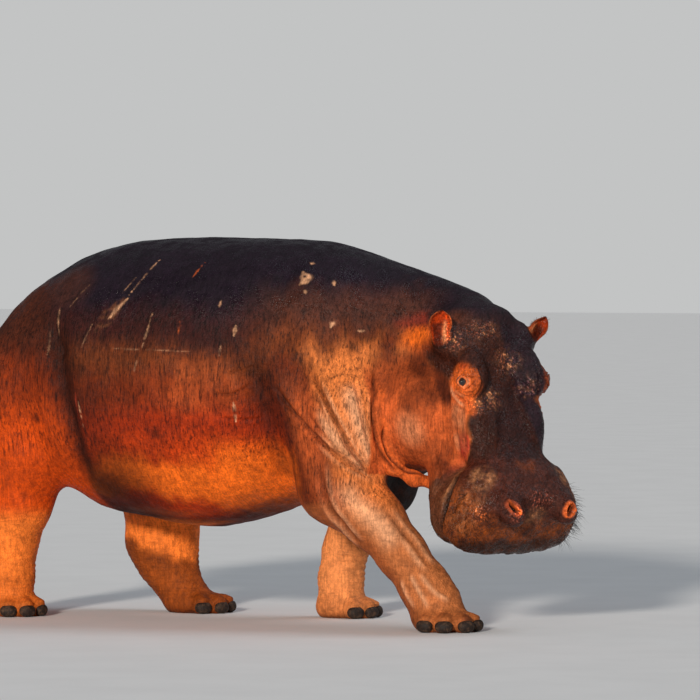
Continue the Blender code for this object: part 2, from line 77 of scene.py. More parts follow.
# the head's own axes: forward to the nose, left, and up through the brow; zero is midway
# between the eyes
HEAD_AT = (1.436, -0.150, 0.9435)
HEAD_YAW, HEAD_PITCH = -26.0, -57.0
CRANIUM = [
    (-0.36, 0.170, -0.36, 0.070, 2.2),
    (-0.26, 0.195, -0.36, 0.078, 2.3),
    (-0.14, 0.190, -0.30, 0.050, 2.3),
    (-0.02, 0.155, -0.25, 0.010, 2.2),
    (0.10, 0.120, -0.25, -0.022, 2.2),
    (0.22, 0.115, -0.24, -0.040, 2.2),
    (0.36, 0.145, -0.25, -0.048, 2.3),
    (0.46, 0.175, -0.28, -0.048, 2.4),
]
MUZZLE = [
    (0.26, 0.200, -0.260, -0.080, 2.3),
    (0.34, 0.255, -0.300, -0.060, 2.5),
    (0.42, 0.276, -0.330, -0.050, 2.7),
    (0.50, 0.266, -0.347, -0.048, 3.0),
    (0.562, 0.248, -0.338, -0.058, 3.3),
]
JAW = [
    (-0.20, 0.170, -0.490, -0.16, 2.2),
    (-0.08, 0.210, -0.500, -0.14, 2.3),
    (0.06, 0.215, -0.468, -0.15, 2.4),
    (0.20, 0.225, -0.405, -0.18, 2.4),
    (0.32, 0.255, -0.415, -0.20, 2.6),
    (0.42, 0.264, -0.440, -0.20, 2.8),
    (0.52, 0.235, -0.415, -0.22, 2.8),
]
# rear end, front end, and squareness of each loft's closing caps, then how far its front leans
# and how much narrower its top is than its underside
LOFT_ENDS = {"trunk": (0.26, 0.14, 2.0, 0.0, 0.0), "cranium": (0.12, 0.10, 2.0, 0.0, 0.0),
             "muzzle": (0.12, 0.082, 3.0, 0.25, 0.20), "jaw": (0.12, 0.10, 2.6, 0.0, 0.0)}
# the breast hangs forward between the forelegs: centre and radii
BREAST = ((0.87, 0.0, 0.555), (0.112, 0.170, 0.152))
# swellings on both sides of the head: centre, radii, yaw and pitch, blend width
SWELLINGS = {
    "cheek": ((-0.06, 0.195, -0.335), (0.195, 0.118, 0.200), (0, -25), 0.04),
    "zygoma": ((0.07, 0.120, -0.125), (0.20, 0.075, 0.11), (0, 0), 0.05),
    "eye_mound": ((0.010, 0.150, -0.005), (0.056, 0.060, 0.053), (0, 0), 0.03),
    "brow": ((-0.055, 0.128, 0.012), (0.070, 0.050, 0.042), (-10, 0), 0.05),
    "ear_root": ((-0.178, 0.166, -0.014), (0.066, 0.064, 0.056), (0, 0), 0.04),
    "nostril": ((0.525, 0.122, -0.075), (0.065, 0.050, 0.045), (0, 0), 0.05),
}
# a roll of loose skin hung behind the cheek and under the throat: head's axes, then radius
THROAT_ROLL = [
    (-0.12, 0.328, -0.300, 0.015), (-0.03, 0.324, -0.370, 0.018),
    (0.04, 0.305, -0.432, 0.019), (0.11, 0.262, -0.450, 0.020),
    (0.165, 0.200, -0.443, 0.021), (0.200, 0.110, -0.424, 0.022),
    (0.205, -0.010, -0.424, 0.022)]
EYE_AT = (0.012, 0.190, 0.004)
NAIL_RADII, NAIL_REACH, NAIL_HEIGHT = (0.025, 0.034, 0.0240), 0.030, 0.0245
EAR_BASE = (-0.172, 0.208, -0.030)
# by side, right then left: the tip, and how far the hollow looks forward and outward
EAR_TIP = {-1: (-0.228, 0.250, 0.100), 1: (-0.208, 0.246, 0.084)}
EAR_FACING = {-1: (0.75, 0.25), 1: (0.70, -0.55)}
EAR_HALF_WIDTH = 0.038
# by side: share of the half width, and how blunt the tip is
EAR_FULLNESS, EAR_BLUNTNESS = {-1: 1.0, 1: 0.80}, {-1: 8.0, 1: 3.0}
# down each limb: station, left, height, radius; then the foot's place, turn and size
LIMBS = {
    "fore_right": [
        (0.82, -0.27, 0.80, 0.19), (0.822, -0.275, 0.54, 0.156), (0.965, -0.27, 0.41, 0.108),
        (1.076, -0.262, 0.285, 0.090), (1.167, -0.256, 0.165, 0.088),
        (1.212, -0.252, 0.100, 0.103)],
    "fore_left": [
        (0.68, 0.27, 0.80, 0.19), (0.66, 0.28, 0.57, 0.145), (0.60, 0.27, 0.40, 0.10),
        (0.558, 0.262, 0.27, 0.083), (0.54, 0.258, 0.15, 0.080), (0.54, 0.255, 0.08, 0.080)],
    "hind_right": [
        (-0.60, -0.275, 0.84, 0.215), (-0.54, -0.28, 0.635, 0.162), (-0.595, -0.275, 0.44, 0.125),
        (-0.65, -0.26, 0.29, 0.112), (-0.655, -0.255, 0.17, 0.096), (-0.66, -0.25, 0.08, 0.092)],
    "hind_left": [
        (-0.52, 0.265, 0.84, 0.22), (-0.31, 0.28, 0.60, 0.18), (-0.27, 0.28, 0.43, 0.150),
        (-0.270, 0.275, 0.28, 0.138), (-0.240, 0.27, 0.19, 0.112), (-0.195, 0.262, 0.12, 0.086),
        (-0.15, 0.255, 0.08, 0.080)],
}
FEET = {"fore_right": (1.246, -0.25, -46.0, 1.02), "fore_left": (0.552, 0.255, 12.0, 0.84),
        "hind_right": (-0.655, -0.25, -10.0, 0.90), "hind_left": (-0.110, 0.255, 5.0, 0.94)}
TOES = [(-50.0, 0.100), (-17.0, 0.116), (17.0, 0.116), (50.0, 0.100)]   # spread, reach
TOE_RADII = (0.046, 0.036, 0.040)
LIMB_FLATNESS = 0.95
TAIL = [(-0.80, 0.0, 1.03, 0.050), (-0.875, 0.0, 0.965, 0.045), (-0.915, 0.0, 0.85, 0.034),
        (-0.925, 0.0, 0.72, 0.026), (-0.930, 0.0, 0.66, 0.018)]


# ---------- the flesh as one smooth form
def turn(yaw=0.0, pitch=0.0):
    """Rows are a part's forward, left and up axes; yaw turns left, pitch raises the front."""
    y, p = math.radians(yaw), math.radians(pitch)
    across = np.array([[math.cos(y), -math.sin(y), 0], [math.sin(y), math.cos(y), 0], [0, 0, 1]])
    raised = np.array([[math.cos(p), 0, -math.sin(p)], [0, 1, 0], [math.sin(p), 0, math.cos(p)]])
    return (across @ raised).T


HEAD_AXES = turn(HEAD_YAW, HEAD_PITCH)


def along(s, stations, values):
    """Smooth curve through the stations' values, a cubic with averaged slopes, read at s."""
    xs, ys = np.asarray(stations, float), np.asarray(values, float)
    rise = np.diff(ys) / np.diff(xs)
    slope = np.concatenate([rise[:1], (rise[:-1] + rise[1:]) / 2, rise[-1:]])
    s = np.clip(s, xs[0], xs[-1])
    i = np.clip(np.searchsorted(xs, s) - 1, 0, len(xs) - 2)
    w = xs[i + 1] - xs[i]
    t = (s - xs[i]) / w
    a, b = t * t * (3 - 2 * t), t * (1 - t)
    curve = b * w * ((1 - t) * slope[i] - t * slope[i + 1])
    return ys[i] * (1 - a) + ys[i + 1] * a + curve


def blend(a, b, width):
    """The nearer of two distances, rounded where they are within width of each other."""
    h = np.maximum(width - np.abs(a - b), 0) / width
    return np.minimum(a, b) - h * h * width / 4


def section(table, s):
    """Half width, underside, top, squareness and shift at station s."""
    t = np.array(table, float).T
    return [along(s, t[0], row) for row in t[1:]] + [0.0] * (6 - len(t))


def loft(p, table, ends):
    """Distance to a form whose sections are rounded squares, closed by rounded caps."""
    rear, front, power, lean, taper = ends
    s, v, w = p.T
    half, low, high, square, shift = section(table, s)
    mid, tall = (low + high) / 2, (high - low) / 2
    half = half * (1 - taper * np.clip((w - mid) / tall, -1, 1))
    q = (np.abs((v - shift) / half) ** square + np.abs((w - mid) / tall) ** square) ** (1 / square)
    s = s + lean * (w - mid)
    over = np.maximum((table[0][0] + rear - s) / rear, (s - table[-1][0] + front) / front)
    q = (q ** power + np.maximum(over, 0) ** power) ** (1 / power)
    return (q - 1) * np.minimum(half, tall)


def egg(p, centre, radii, axes=None):
    """Distance to an ellipsoid, scaled true near its surface."""
    d = p - np.asarray(centre, float)
    if axes is not None:
        d = d @ axes.T
    r = np.asarray(radii, float)
    k0 = np.sqrt(((d / r) ** 2).sum(1))
    k1 = np.sqrt(((d / r ** 2) ** 2).sum(1)) + 1e-9
    return k0 * (k0 - 1) / k1


def limb(p, nodes, flatness, width=0.04):
    """Distance to a chain of tapering round bars, pressed flat from side to side."""
    chain = np.array(nodes, float)
    out = None
    for a, b in zip(chain[:-1], chain[1:]):
        ab = b[:3] - a[:3]
        t = np.clip(((p - a[:3]) @ ab) / (ab @ ab), 0, 1)
        d = p - (a[:3] + t[:, None] * ab)
        reach = np.sqrt(d[:, 0] ** 2 + (d[:, 1] / flatness) ** 2 + d[:, 2] ** 2)
        bar = (reach - a[3] - t * (b[3] - a[3])) * (flatness + 1) / 2
        out = bar if out is None else blend(out, bar, width)
    return out


def toe_places(foot):
    """Centre and heading of each toe of a foot."""
    x, y, yaw, size = FEET[foot]
    for spread, reach in TOES:
        a = math.radians(yaw + spread)
        yield (x + size * reach * math.cos(a), y + size * reach * math.sin(a)), yaw + spread


def nail_places(foot):
    """Centre and axes of each toenail of a foot."""
    for place, heading in toe_places(foot):
        axes = turn(heading)
        yield np.array([*place, NAIL_HEIGHT]) + axes[0] * NAIL_REACH, axes


def leg(p, name):
    """Distance to one limb with its pad and toes."""
    x, y, yaw, size = FEET[name]
    f = limb(p, LIMBS[name], LIMB_FLATNESS)
    pad = egg(p, (x, y, 0.035), (0.12 * size, 0.105 * size, 0.055), turn(yaw))
    f = blend(f, pad, 0.05)
    for place, heading in toe_places(name):
        f = blend(f, egg(p, (*place, 0.033), TOE_RADII, turn(heading)), 0.02)
    return f


def to_head(p):
    """Body stations to the head's own axes."""
    return (p - np.array(HEAD_AT)) @ HEAD_AXES.T


def both_sides(h):
    """Places on the head, with those of its right side laid over the left."""
    return np.stack([h[:, 0], np.abs(h[:, 1]), h[:, 2]], 1)


def from_head(h):
    """The head's own axes to body stations."""
    return np.array(HEAD_AT) + np.asarray(h, float) @ HEAD_AXES


def head(p):
    """Distance to the head without its ears."""
    h = to_head(p)
    f = blend(loft(h, CRANIUM, LOFT_ENDS["cranium"]), loft(h, JAW, LOFT_ENDS["jaw"]), 0.03)
    f = blend(f, loft(h, MUZZLE, LOFT_ENDS["muzzle"]), 0.04)
    side = both_sides(h)
    for centre, radii, angles, width in SWELLINGS.values():
        f = blend(f, egg(side, centre, radii, turn(*angles)), width)
    return blend(f, limb(side, THROAT_ROLL, 1.0), 0.02)


def flesh(p):
    """Distance to the whole animal without ears and tail; far parts are skipped."""
    f = blend(loft(p, TRUNK, LOFT_ENDS["trunk"]), egg(p, *BREAST), 0.06)
    for name, nodes in LIMBS.items():
        near = np.flatnonzero((p[:, 2] < nodes[0][2] + 0.35) & (p[:, 1] * nodes[0][1] > -0.02)
                              & (p[:, 0] > min(n[0] for n in nodes) - 0.4)
                              & (p[:, 0] < max(n[0] for n in nodes) + 0.4))
        f[near] = blend(f[near], leg(p[near], name), 0.1)
    near = np.flatnonzero((p[:, 0] > 0.75) & (p[:, 2] > 0.1))
    f[near] = blend(f[near], head(p[near]), 0.05)
    return f


def settle(p, steps=3, reach=0.02):
    """Moves points along the form's slope until they lie on its surface."""
    taps = np.array([[1, -1, -1], [-1, -1, 1], [-1, 1, -1], [1, 1, 1]], float)
    for _ in range(steps):
        slope = sum(d * flesh(p + 0.002 * d)[:, None] for d in taps) / 0.008
        move = -(flesh(p) / np.maximum((slope ** 2).sum(1), 0.05))[:, None] * slope
        size = np.linalg.norm(move, axis=1, keepdims=True)
        p = p + move * np.minimum(1, reach / np.maximum(size, 1e-9))
    return p


# ---------- curves, noise and steps
def ease(low, high, x):
    """Rises smoothly from 0 at low to 1 at high."""
    t = np.clip((x - low) / (high - low), 0, 1)
    return t * t * (3 - 2 * t)


def tone(red, green, blue):
    """A colour from its screen values, as linear light."""
    c = np.array([red, green, blue]) / 255
    return np.where(c <= 0.04045, c / 12.92, ((c + 0.055) / 1.055) ** 2.4)


def bell(x, width):
    """A smooth hump, 1 at zero and under a half at width."""
    return np.exp(-(x / width) ** 2)


def unit(v):
    """Each direction at length one."""
    v = np.asarray(v, float)
    return v / np.maximum(np.linalg.norm(v, axis=-1, keepdims=True), 1e-12)


def size_of(rows):
    """The length of each row."""
    return np.linalg.norm(rows, axis=1)


def grain(p, scale, seed=0):
    """Smooth noise from -1 to 1: random values on a lattice, eased between its corners."""
    q = p * scale + 17.0 * seed + 1000
    i = np.floor(q).astype(np.int64)
    t = q - i
    t = t * t * (3 - 2 * t)
    total = np.zeros(len(p))
    for corner in np.ndindex(2, 2, 2):
        j = i + corner
        key = (j[:, 0] * 73856093) ^ (j[:, 1] * 19349663) ^ (j[:, 2] * 83492791) ^ (seed * 2654435)
        key = (key ^ (key >> 13)) * 1274126177 & 0x7FFFFFFF
        value = (key >> 8) % 4096 / 2047.5 - 1
        weight = np.prod(np.where(np.array(corner), t, 1 - t), axis=1)
        total += value * weight
    return total


def line_through(points, spacing=0.012):
    """A smooth line through a few points, read at even steps of chord length."""
    points = np.array(points, float)
    chord = np.concatenate([[0], np.cumsum(size_of(np.diff(points, axis=0)))])
    s = np.linspace(0, chord[-1], max(3, int(chord[-1] / spacing) + 1))
    return np.stack([along(s, chord, column) for column in points.T], 1)


def near_line(p, line, reach):
    """Which points lie within reach of a line, how far off they are, and how far along it."""
    inside = ((p > line.min(0) - reach) & (p < line.max(0) + reach)).all(1)
    index = np.flatnonzero(inside)
    q = p[index]
    off = np.full(len(q), np.inf)
    share = np.zeros(len(q))
    for k, (a, b) in enumerate(zip(line[:-1], line[1:])):
        ab = b - a
        t = np.clip(((q - a) @ ab) / (ab @ ab), 0, 1)
        d = size_of(q - a - t[:, None] * ab)
        closer = d < off
        off = np.where(closer, d, off)
        share = np.where(closer, (k + t) / (len(line) - 1), share)
    keep = off < reach
    return index[keep], off[keep], share[keep]


# ---------- mesh of a smooth form
def surface_net(field, lows, highs, step):
    """Quads of the field's zero level: one vertex in each grid cell that the surface crosses,
    at the mean of its crossings, and one quad across each grid edge that it crosses."""
    axes = [np.arange(a, b + step, step) for a, b in zip(lows, highs)]
    corner = np.stack(np.meshgrid(*axes, indexing="ij"), -1)
    f = field(corner.reshape(-1, 3)).reshape(corner.shape[:3])
    inside = f < 0
    cells = np.array(f.shape) - 1
    total, count = np.zeros((*cells, 3)), np.zeros(cells)

    def part(offset):
        return tuple(slice(o, o + c) for o, c in zip(offset, cells))

    for axis in range(3):
        first, second = (a for a in range(3) if a != axis)
        for i, j in np.ndindex(2, 2):
            start = [0, 0, 0]
            start[first], start[second] = i, j
            end = list(start)
            end[axis] = 1
            a, b = part(start), part(end)
            cross = inside[a] != inside[b]
            t = np.where(cross, f[a] / np.where(cross, f[a] - f[b], 1), 0)[..., None]
            total += np.where(cross[..., None], corner[a] + t * (corner[b] - corner[a]), 0)
            count += cross
    used = count > 0
    index = np.full(cells, -1)
    index[used] = np.arange(used.sum())
    points = total[used] / count[used][:, None]
    quads = []
    for axis in range(3):
        first, second = (a for a in range(3) if a != axis)
        low, high = [slice(1, -1)] * 3, [slice(1, -1)] * 3
        low[axis], high[axis] = slice(0, -1), slice(1, None)
        a, b = inside[tuple(low)], inside[tuple(high)]
        base = list(np.nonzero(a != b))
        out = a[tuple(base)] ^ (axis == 1)
        base[first] = base[first] + 1
        base[second] = base[second] + 1
        ring = []
        for back in ((1, 1), (0, 1), (0, 0), (1, 0)):
            cell = list(base)
            cell[first], cell[second] = cell[first] - back[0], cell[second] - back[1]
            ring.append(index[tuple(cell)])
        quad = np.stack(ring, 1)
        quad[~out] = quad[~out][:, ::-1]
        quads.append(quad)
    return points, np.concatenate(quads)


def halves(points, quads):
    """Cuts each quad in two along its shorter diagonal."""
    a, b, c, d = quads.T
    short = size_of(points[a] - points[c]) < size_of(points[b] - points[d])
    one = np.where(short[:, None], np.stack([a, b, c], 1), np.stack([a, b, d], 1))
    two = np.where(short[:, None], np.stack([a, c, d], 1), np.stack([b, c, d], 1))
    return np.concatenate([one, two])


def split_long(points, faces, limit):
    """Halves every edge longer than the limit at its middle, and cuts its faces to suit."""
    ends = np.sort(faces[:, [[0, 1], [1, 2], [2, 0]]].reshape(-1, 2), axis=1)
    keys, where = np.unique(ends[:, 0] * len(points) + ends[:, 1], return_inverse=True)
    a, b = keys // len(points), keys % len(points)
    middle = (points[a] + points[b]) / 2
    long = size_of(points[a] - points[b]) > 1.4 * limit(middle)
    made = np.where(long, np.cumsum(long) - 1 + len(points), -1)[where].reshape(-1, 3)
    count = (made >= 0).sum(1)
    lead = np.where(count == 1, np.argmax(made >= 0, 1), np.where(count == 2,
                    (np.argmin(made >= 0, 1) + 1) % 3, 0))
    order = (lead[:, None] + np.arange(3)) % 3
    f, m = np.take_along_axis(faces, order, 1), np.take_along_axis(made, order, 1)
    out = [f[count == 0]]

    def add(chosen, *columns):
        table = np.concatenate([f[chosen], m[chosen]], 1)
        out.extend(table[:, list(c)] for c in columns)

    add(count == 1, (0, 3, 2), (3, 1, 2))
    add(count == 2, (3, 1, 4), (0, 3, 4), (0, 4, 2))
    add(count == 3, (0, 3, 5), (3, 1, 4), (5, 4, 2), (3, 4, 5))
    return np.concatenate([points, middle[long]]), np.concatenate(out), int(long.sum())


def normals_of(points, faces):
    """The outward direction at each point, from the triangles that meet there."""
    a, b, c = (points[faces[:, k]] for k in range(3))
    across = np.cross(b - a, c - a)
    total = np.stack([np.bincount(faces.ravel(), np.repeat(across[:, k], 3), len(points))
                      for k in range(3)], 1)
    return unit(total)


def relaxed(points, faces, share=0.5):
    """Each point moved within the surface towards the middle of its neighbours."""
    start, end = faces[:, [0, 1, 2]].ravel(), faces[:, [1, 2, 0]].ravel()
    count = np.maximum(np.bincount(end, minlength=len(points)), 1)
    mean = np.stack([np.bincount(end, points[start, k], len(points)) for k in range(3)], 1)
    move = mean / count[:, None] - points
    normal = normals_of(points, faces)
    move -= (move * normal).sum(1, keepdims=True) * normal
    return points + share * move


# ---------- landmarks of the head
def side_of(h, hand):
    """A point of the head given for the left side, on the hand's side."""
    return from_head((h[0], hand * h[1], h[2]))


def eye_axes(hand):
    """Gaze, along the lids towards the nose, and across them."""
    gaze = unit(np.array([0.48, hand * 0.64, 0.6]) @ HEAD_AXES)
    lids = np.array([0.88, hand * -0.2, -0.44]) @ HEAD_AXES
    lids = unit(lids - (lids @ gaze) * gaze)
    return gaze, lids, np.cross(gaze, lids) * -hand


def ear_axes(hand):
    """Up the ear, across it, and out of its hollow; then the place where it leaves the head."""
    base, tip = side_of(EAR_BASE, hand), side_of(EAR_TIP[hand], hand)
    up = unit(tip - base)
    ahead, aside = EAR_FACING[hand]
    front = HEAD_AXES[0] * ahead + HEAD_AXES[1] * hand * aside
    front = unit(front - (front @ up) * up)
    reach = np.linspace(0, 1, 80)[:, None] * (tip - base)
    root = base + reach[np.flatnonzero(flesh(base + reach) < 0)[-1]]
    return up, np.cross(front, up), front, root, np.linalg.norm(tip - root)


NOSTRIL_AT = {1: (0.551, 0.118, -0.04), -1: (0.541, 0.138, -0.036)}
NOSTRIL_HALF = (0.026, 0.0095)


def nostril_axes(hand):
    """Place on the skin, out of it, along the slit and across it."""
    place = settle(side_of(NOSTRIL_AT[hand], hand)[None])[0]
    out = unit(np.array([0.52, hand * 0.1, 0.85]) @ HEAD_AXES)
    slit = np.array([0.8, hand * -0.55, -0.2]) @ HEAD_AXES
    slit = unit(slit - (slit @ out) * out)
    return place, out, slit, np.cross(out, slit)


# ---------- folds, as lines on the skin
# each: half width, depth (below zero it is a ridge), height of the lips beside it, points; on the
# head for the left side in its own axes, on the body for the right side
HEAD_FOLDS = {
    "mouth": (0.0075, 0.018, 0.003, [
        (0.235, 0.165, -0.188), (0.29, 0.2, -0.172), (0.335, 0.24, -0.174), (0.38, 0.274, -0.202),
        (0.425, 0.288, -0.234), (0.45, 0.284, -0.272), (0.474, 0.262, -0.318),
        (0.515, 0.235, -0.347), (0.56, 0.19, -0.355), (0.585, 0.1, -0.358), (0.59, 0.0, -0.358)]),
    "mound_front": (0.006, 0.005, 0.002, [
        (-0.04, 0.125, 0.065), (0.0, 0.135, 0.06), (0.035, 0.135, 0.04), (0.065, 0.138, 0.008),
        (0.08, 0.152, -0.018)]),
    "lower_lid": (0.0042, 0.0055, 0.0022, [
        (-0.025, 0.2, -0.03), (0.005, 0.2, -0.042), (0.04, 0.197, -0.03),
        (0.066, 0.165, -0.012)]),
    "lower_lid_second": (0.0045, 0.0055, 0.0025, [
        (-0.015, 0.19, -0.06), (0.025, 0.188, -0.062), (0.06, 0.183, -0.048),
        (0.092, 0.156, -0.028)]),
    "lower_lid_third": (0.005, 0.005, 0.0025, [
        (0.01, 0.186, -0.088), (0.06, 0.186, -0.078), (0.1, 0.176, -0.062),
        (0.126, 0.152, -0.036)]),
    "face_front": (0.0065, 0.009, 0.003, [
        (-0.055, 0.18, -0.075), (-0.01, 0.186, -0.092), (0.035, 0.191, -0.102),
        (0.085, 0.193, -0.126), (0.135, 0.192, -0.156), (0.19, 0.186, -0.203), (0.24, 0.202, -0.232)]),
    "face_middle": (0.006, 0.008, 0.0035, [
        (0.09, 0.189, -0.097), (0.135, 0.184, -0.12), (0.18, 0.179, -0.15),
        (0.225, 0.18, -0.19)]),
    "face_rear": (0.0055, 0.0065, 0.003, [
        (0.12, 0.167, -0.066), (0.155, 0.169, -0.086), (0.2, 0.171, -0.116),
        (0.24, 0.164, -0.156)]),
    "jowl": (0.007, 0.01, 0.003, [
        (0.15, 0.205, -0.262), (0.19, 0.22, -0.263), (0.235, 0.227, -0.259),
        (0.27, 0.236, -0.262), (0.3, 0.25, -0.29)]),
    "cheek_rear": (0.0065, 0.011, 0.003, [
        (-0.02, 0.332, -0.338), (0.028, 0.321, -0.382), (0.067, 0.303, -0.408),
        (0.112, 0.27, -0.421), (0.148, 0.224, -0.421), (0.165, 0.16, -0.417)]),
    "lip_wrinkle": (0.005, 0.003, 0.0015, [
        (0.4, 0.262, -0.12), (0.43, 0.278, -0.165), (0.455, 0.28, -0.21)]),
    "nose_bridge": (0.02, -0.0055, 0.0, [
        (0.03, 0.06, -0.012), (0.1, 0.066, -0.024), (0.18, 0.076, -0.036),
        (0.27, 0.092, -0.044)]),
}
BODY_FOLDS = {
    "neck_front": (0.0072, 0.017, 0.003, [
        (0.982, -0.293, 0.992), (0.998, -0.342, 0.881), (1.003, -0.353, 0.787),
        (1.01, -0.336, 0.712), (1.028, -0.298, 0.629), (1.05, -0.265, 0.58)]),
    "neck_upper": (0.008, 0.016, 0.006, [
        (0.75, -0.395, 1.03), (0.773, -0.404, 0.966), (0.843, -0.439, 0.863),
        (0.894, -0.431, 0.77), (0.937, -0.401, 0.676), (0.984, -0.362, 0.608),
        (1.021, -0.295, 0.573)]),
    "neck_lower": (0.0085, 0.015, 0.005, [
        (0.614, -0.449, 0.942), (0.669, -0.432, 0.86), (0.735, -0.437, 0.786),
        (0.821, -0.437, 0.712), (0.915, -0.415, 0.631), (0.977, -0.373, 0.593),
        (1.015, -0.305, 0.565)]),
    "neck_ridge": (0.026, -0.017, 0.0, [
        (0.78, -0.44, 0.862), (0.864, -0.438, 0.751), (0.931, -0.406, 0.65),
        (0.99, -0.35, 0.595)]),
    "neck_ridge_front": (0.03, -0.015, 0.0, [
        (0.896, -0.38, 0.937), (0.949, -0.399, 0.807), (0.981, -0.356, 0.675),
        (1.009, -0.313, 0.599)]),
    "neck_line": (0.0055, 0.005, 0.002, [
        (0.795, -0.43, 0.89), (0.86, -0.438, 0.79), (0.918, -0.412, 0.69), (0.965, -0.38, 0.622)]),
    "neck_line_low": (0.0055, 0.0045, 0.002, [
        (0.76, -0.44, 0.83), (0.83, -0.438, 0.745), (0.9, -0.42, 0.662), (0.955, -0.385, 0.607)]),
    "neck_line_front": (0.006, 0.0045, 0.002, [
        (0.93, -0.37, 0.96), (0.955, -0.385, 0.86), (0.965, -0.375, 0.77), (0.985, -0.345, 0.68)]),
    "shoulder_rear": (0.042, 0.024, 0.006, [
        (0.5, -0.47, 1.08), (0.56, -0.47, 0.94), (0.585, -0.44, 0.8), (0.6, -0.36, 0.64),
        (0.6, -0.22, 0.53)]),
    "upper_arm": (0.012, 0.014, 0.005, [
        (0.815, -0.425, 0.64), (0.823, -0.425, 0.6), (0.832, -0.418, 0.525),
        (0.855, -0.382, 0.449), (0.905, -0.36, 0.37), (0.96, -0.345, 0.31)]),
    "upper_arm_ridge": (0.04, -0.012, 0.0, [
        (0.88, -0.43, 0.58), (0.95, -0.4, 0.48), (1.03, -0.362, 0.4), (1.11, -0.33, 0.3)]),
    "forearm_front": (0.012, 0.006, 0.004, [
        (1.03, -0.33, 0.46), (1.09, -0.31, 0.37), (1.15, -0.29, 0.28), (1.2, -0.28, 0.2)]),
    "sinew_front": (0.009, -0.0075, 0.0, [
        (1.18, -0.33, 0.22), (1.25, -0.335, 0.15), (1.3, -0.3, 0.11)]),
    "sinew_middle": (0.009, -0.0075, 0.0, [
        (1.15, -0.345, 0.22), (1.2, -0.35, 0.14), (1.235, -0.36, 0.085)]),
    "sinew_rear": (0.009, -0.0065, 0.0, [
        (1.11, -0.34, 0.2), (1.14, -0.35, 0.13), (1.165, -0.36, 0.08)]),
    "flank": (0.045, 0.03, 0.008, [
        (-0.36, -0.45, 1.2), (-0.294, -0.5, 1.06), (-0.254, -0.518, 0.89),
        (-0.225, -0.497, 0.736), (-0.21, -0.432, 0.6), (-0.22, -0.33, 0.5)]),
    "side_crease": (0.006, 0.006, 0.002, [
        (0.4, -0.51, 0.885), (0.47, -0.49, 0.88), (0.552, -0.469, 0.92)]),
    "side_crease_low": (0.006, 0.0045, 0.002, [
        (0.42, -0.49, 0.79), (0.5, -0.465, 0.785), (0.58, -0.44, 0.785)]),
    "side_crease_top": (0.0055, 0.004, 0.002, [
        (0.44, -0.5, 0.96), (0.5, -0.485, 0.965), (0.56, -0.465, 0.99)]),
}
# folds of the foreleg, which only the right one has, and those that run on to their ends
RIGHT_FOLDS = ("sinew", "forearm", "upper_arm")
LONG_FOLDS = ("mouth", "cheek_rear", "neck_front")
# folds of the lower lid and the boss before the eye, painted as highlight on raised lines and as shade
# in creases and above the mound: half width, colour, strength, points
LID_FOLDS = [
    (0.011, "pale", 0.75, [(-0.051, 0.19, -0.061), (0.005, 0.19, -0.074), (0.073, 0.185, -0.055),
                           (0.138, 0.18, -0.018)]),
    (0.01, "cheek_pale", 0.7, [(0.023, 0.19, -0.044), (0.081, 0.18, -0.02),
                                 (0.136, 0.175, 0.014)]),
    (0.007, "crease", 0.75, [(-0.014, 0.19, -0.053), (0.04, 0.19, -0.048), (0.105, 0.18, -0.02)]),
    (0.009, "crease", 0.7, [(0.035, 0.17, 0.028), (0.062, 0.165, 0.038), (0.092, 0.165, 0.03)]),
    (0.02, "red", 0.35, [(0.055, 0.15, 0.06), (0.075, 0.15, 0.05)]),
    (0.012, "valley", 0.6, [(-0.06, 0.17, 0.052), (-0.015, 0.16, 0.085), (0.04, 0.14, 0.095)]),
]
# how far a lid's fold of each colour stands out
LID_RISE = {"pale": 0.0035, "cheek_pale": 0.0035, "crease": -0.0035}
# bosses of the head: place on the left side, width, height
BOSSES = [((0.064, 0.155, 0.052), 0.024, 0.007), ((-0.075, 0.15, 0.045), 0.04, 0.007),
          ((-0.13, 0.045, 0.055), 0.05, 0.006), ((0.33, 0.215, -0.1), 0.045, 0.008),
          ((0.38, 0.11, -0.045), 0.04, 0.005)]
# the edge of the bridge of the nose: how far forward, and how far from the middle there
BRIDGE_EDGE = ([-0.3, -0.1, 0.02, 0.1, 0.2, 0.39], [0.02, 0.03, 0.05, 0.067, 0.09, 0.156])
# how far from the eye, ear, nostril and tail's root the skin is shaped for them
EYE_DISC, EAR_DISC, NOSTRIL_DISC, TAIL_DISC = 0.085, 0.056, 0.06, 0.095
TAIL_ROOT = (-0.86, 0.0, 0.985)


def fold_lines():
    """Every fold as (line of points on the skin, half width, depth, lip, name)."""
    out = []
    for hand in (1, -1):
        for name, (width, depth, lip, points) in {**HEAD_FOLDS, **BODY_FOLDS}.items():
            if hand == 1 and name.startswith(RIGHT_FOLDS):
                continue
            places = ([side_of(h, hand) for h in points] if name in HEAD_FOLDS
                      else np.array(points) * (1, -hand, 1))
            out.append((settle(line_through(places)), width, depth, lip, name))
    return out


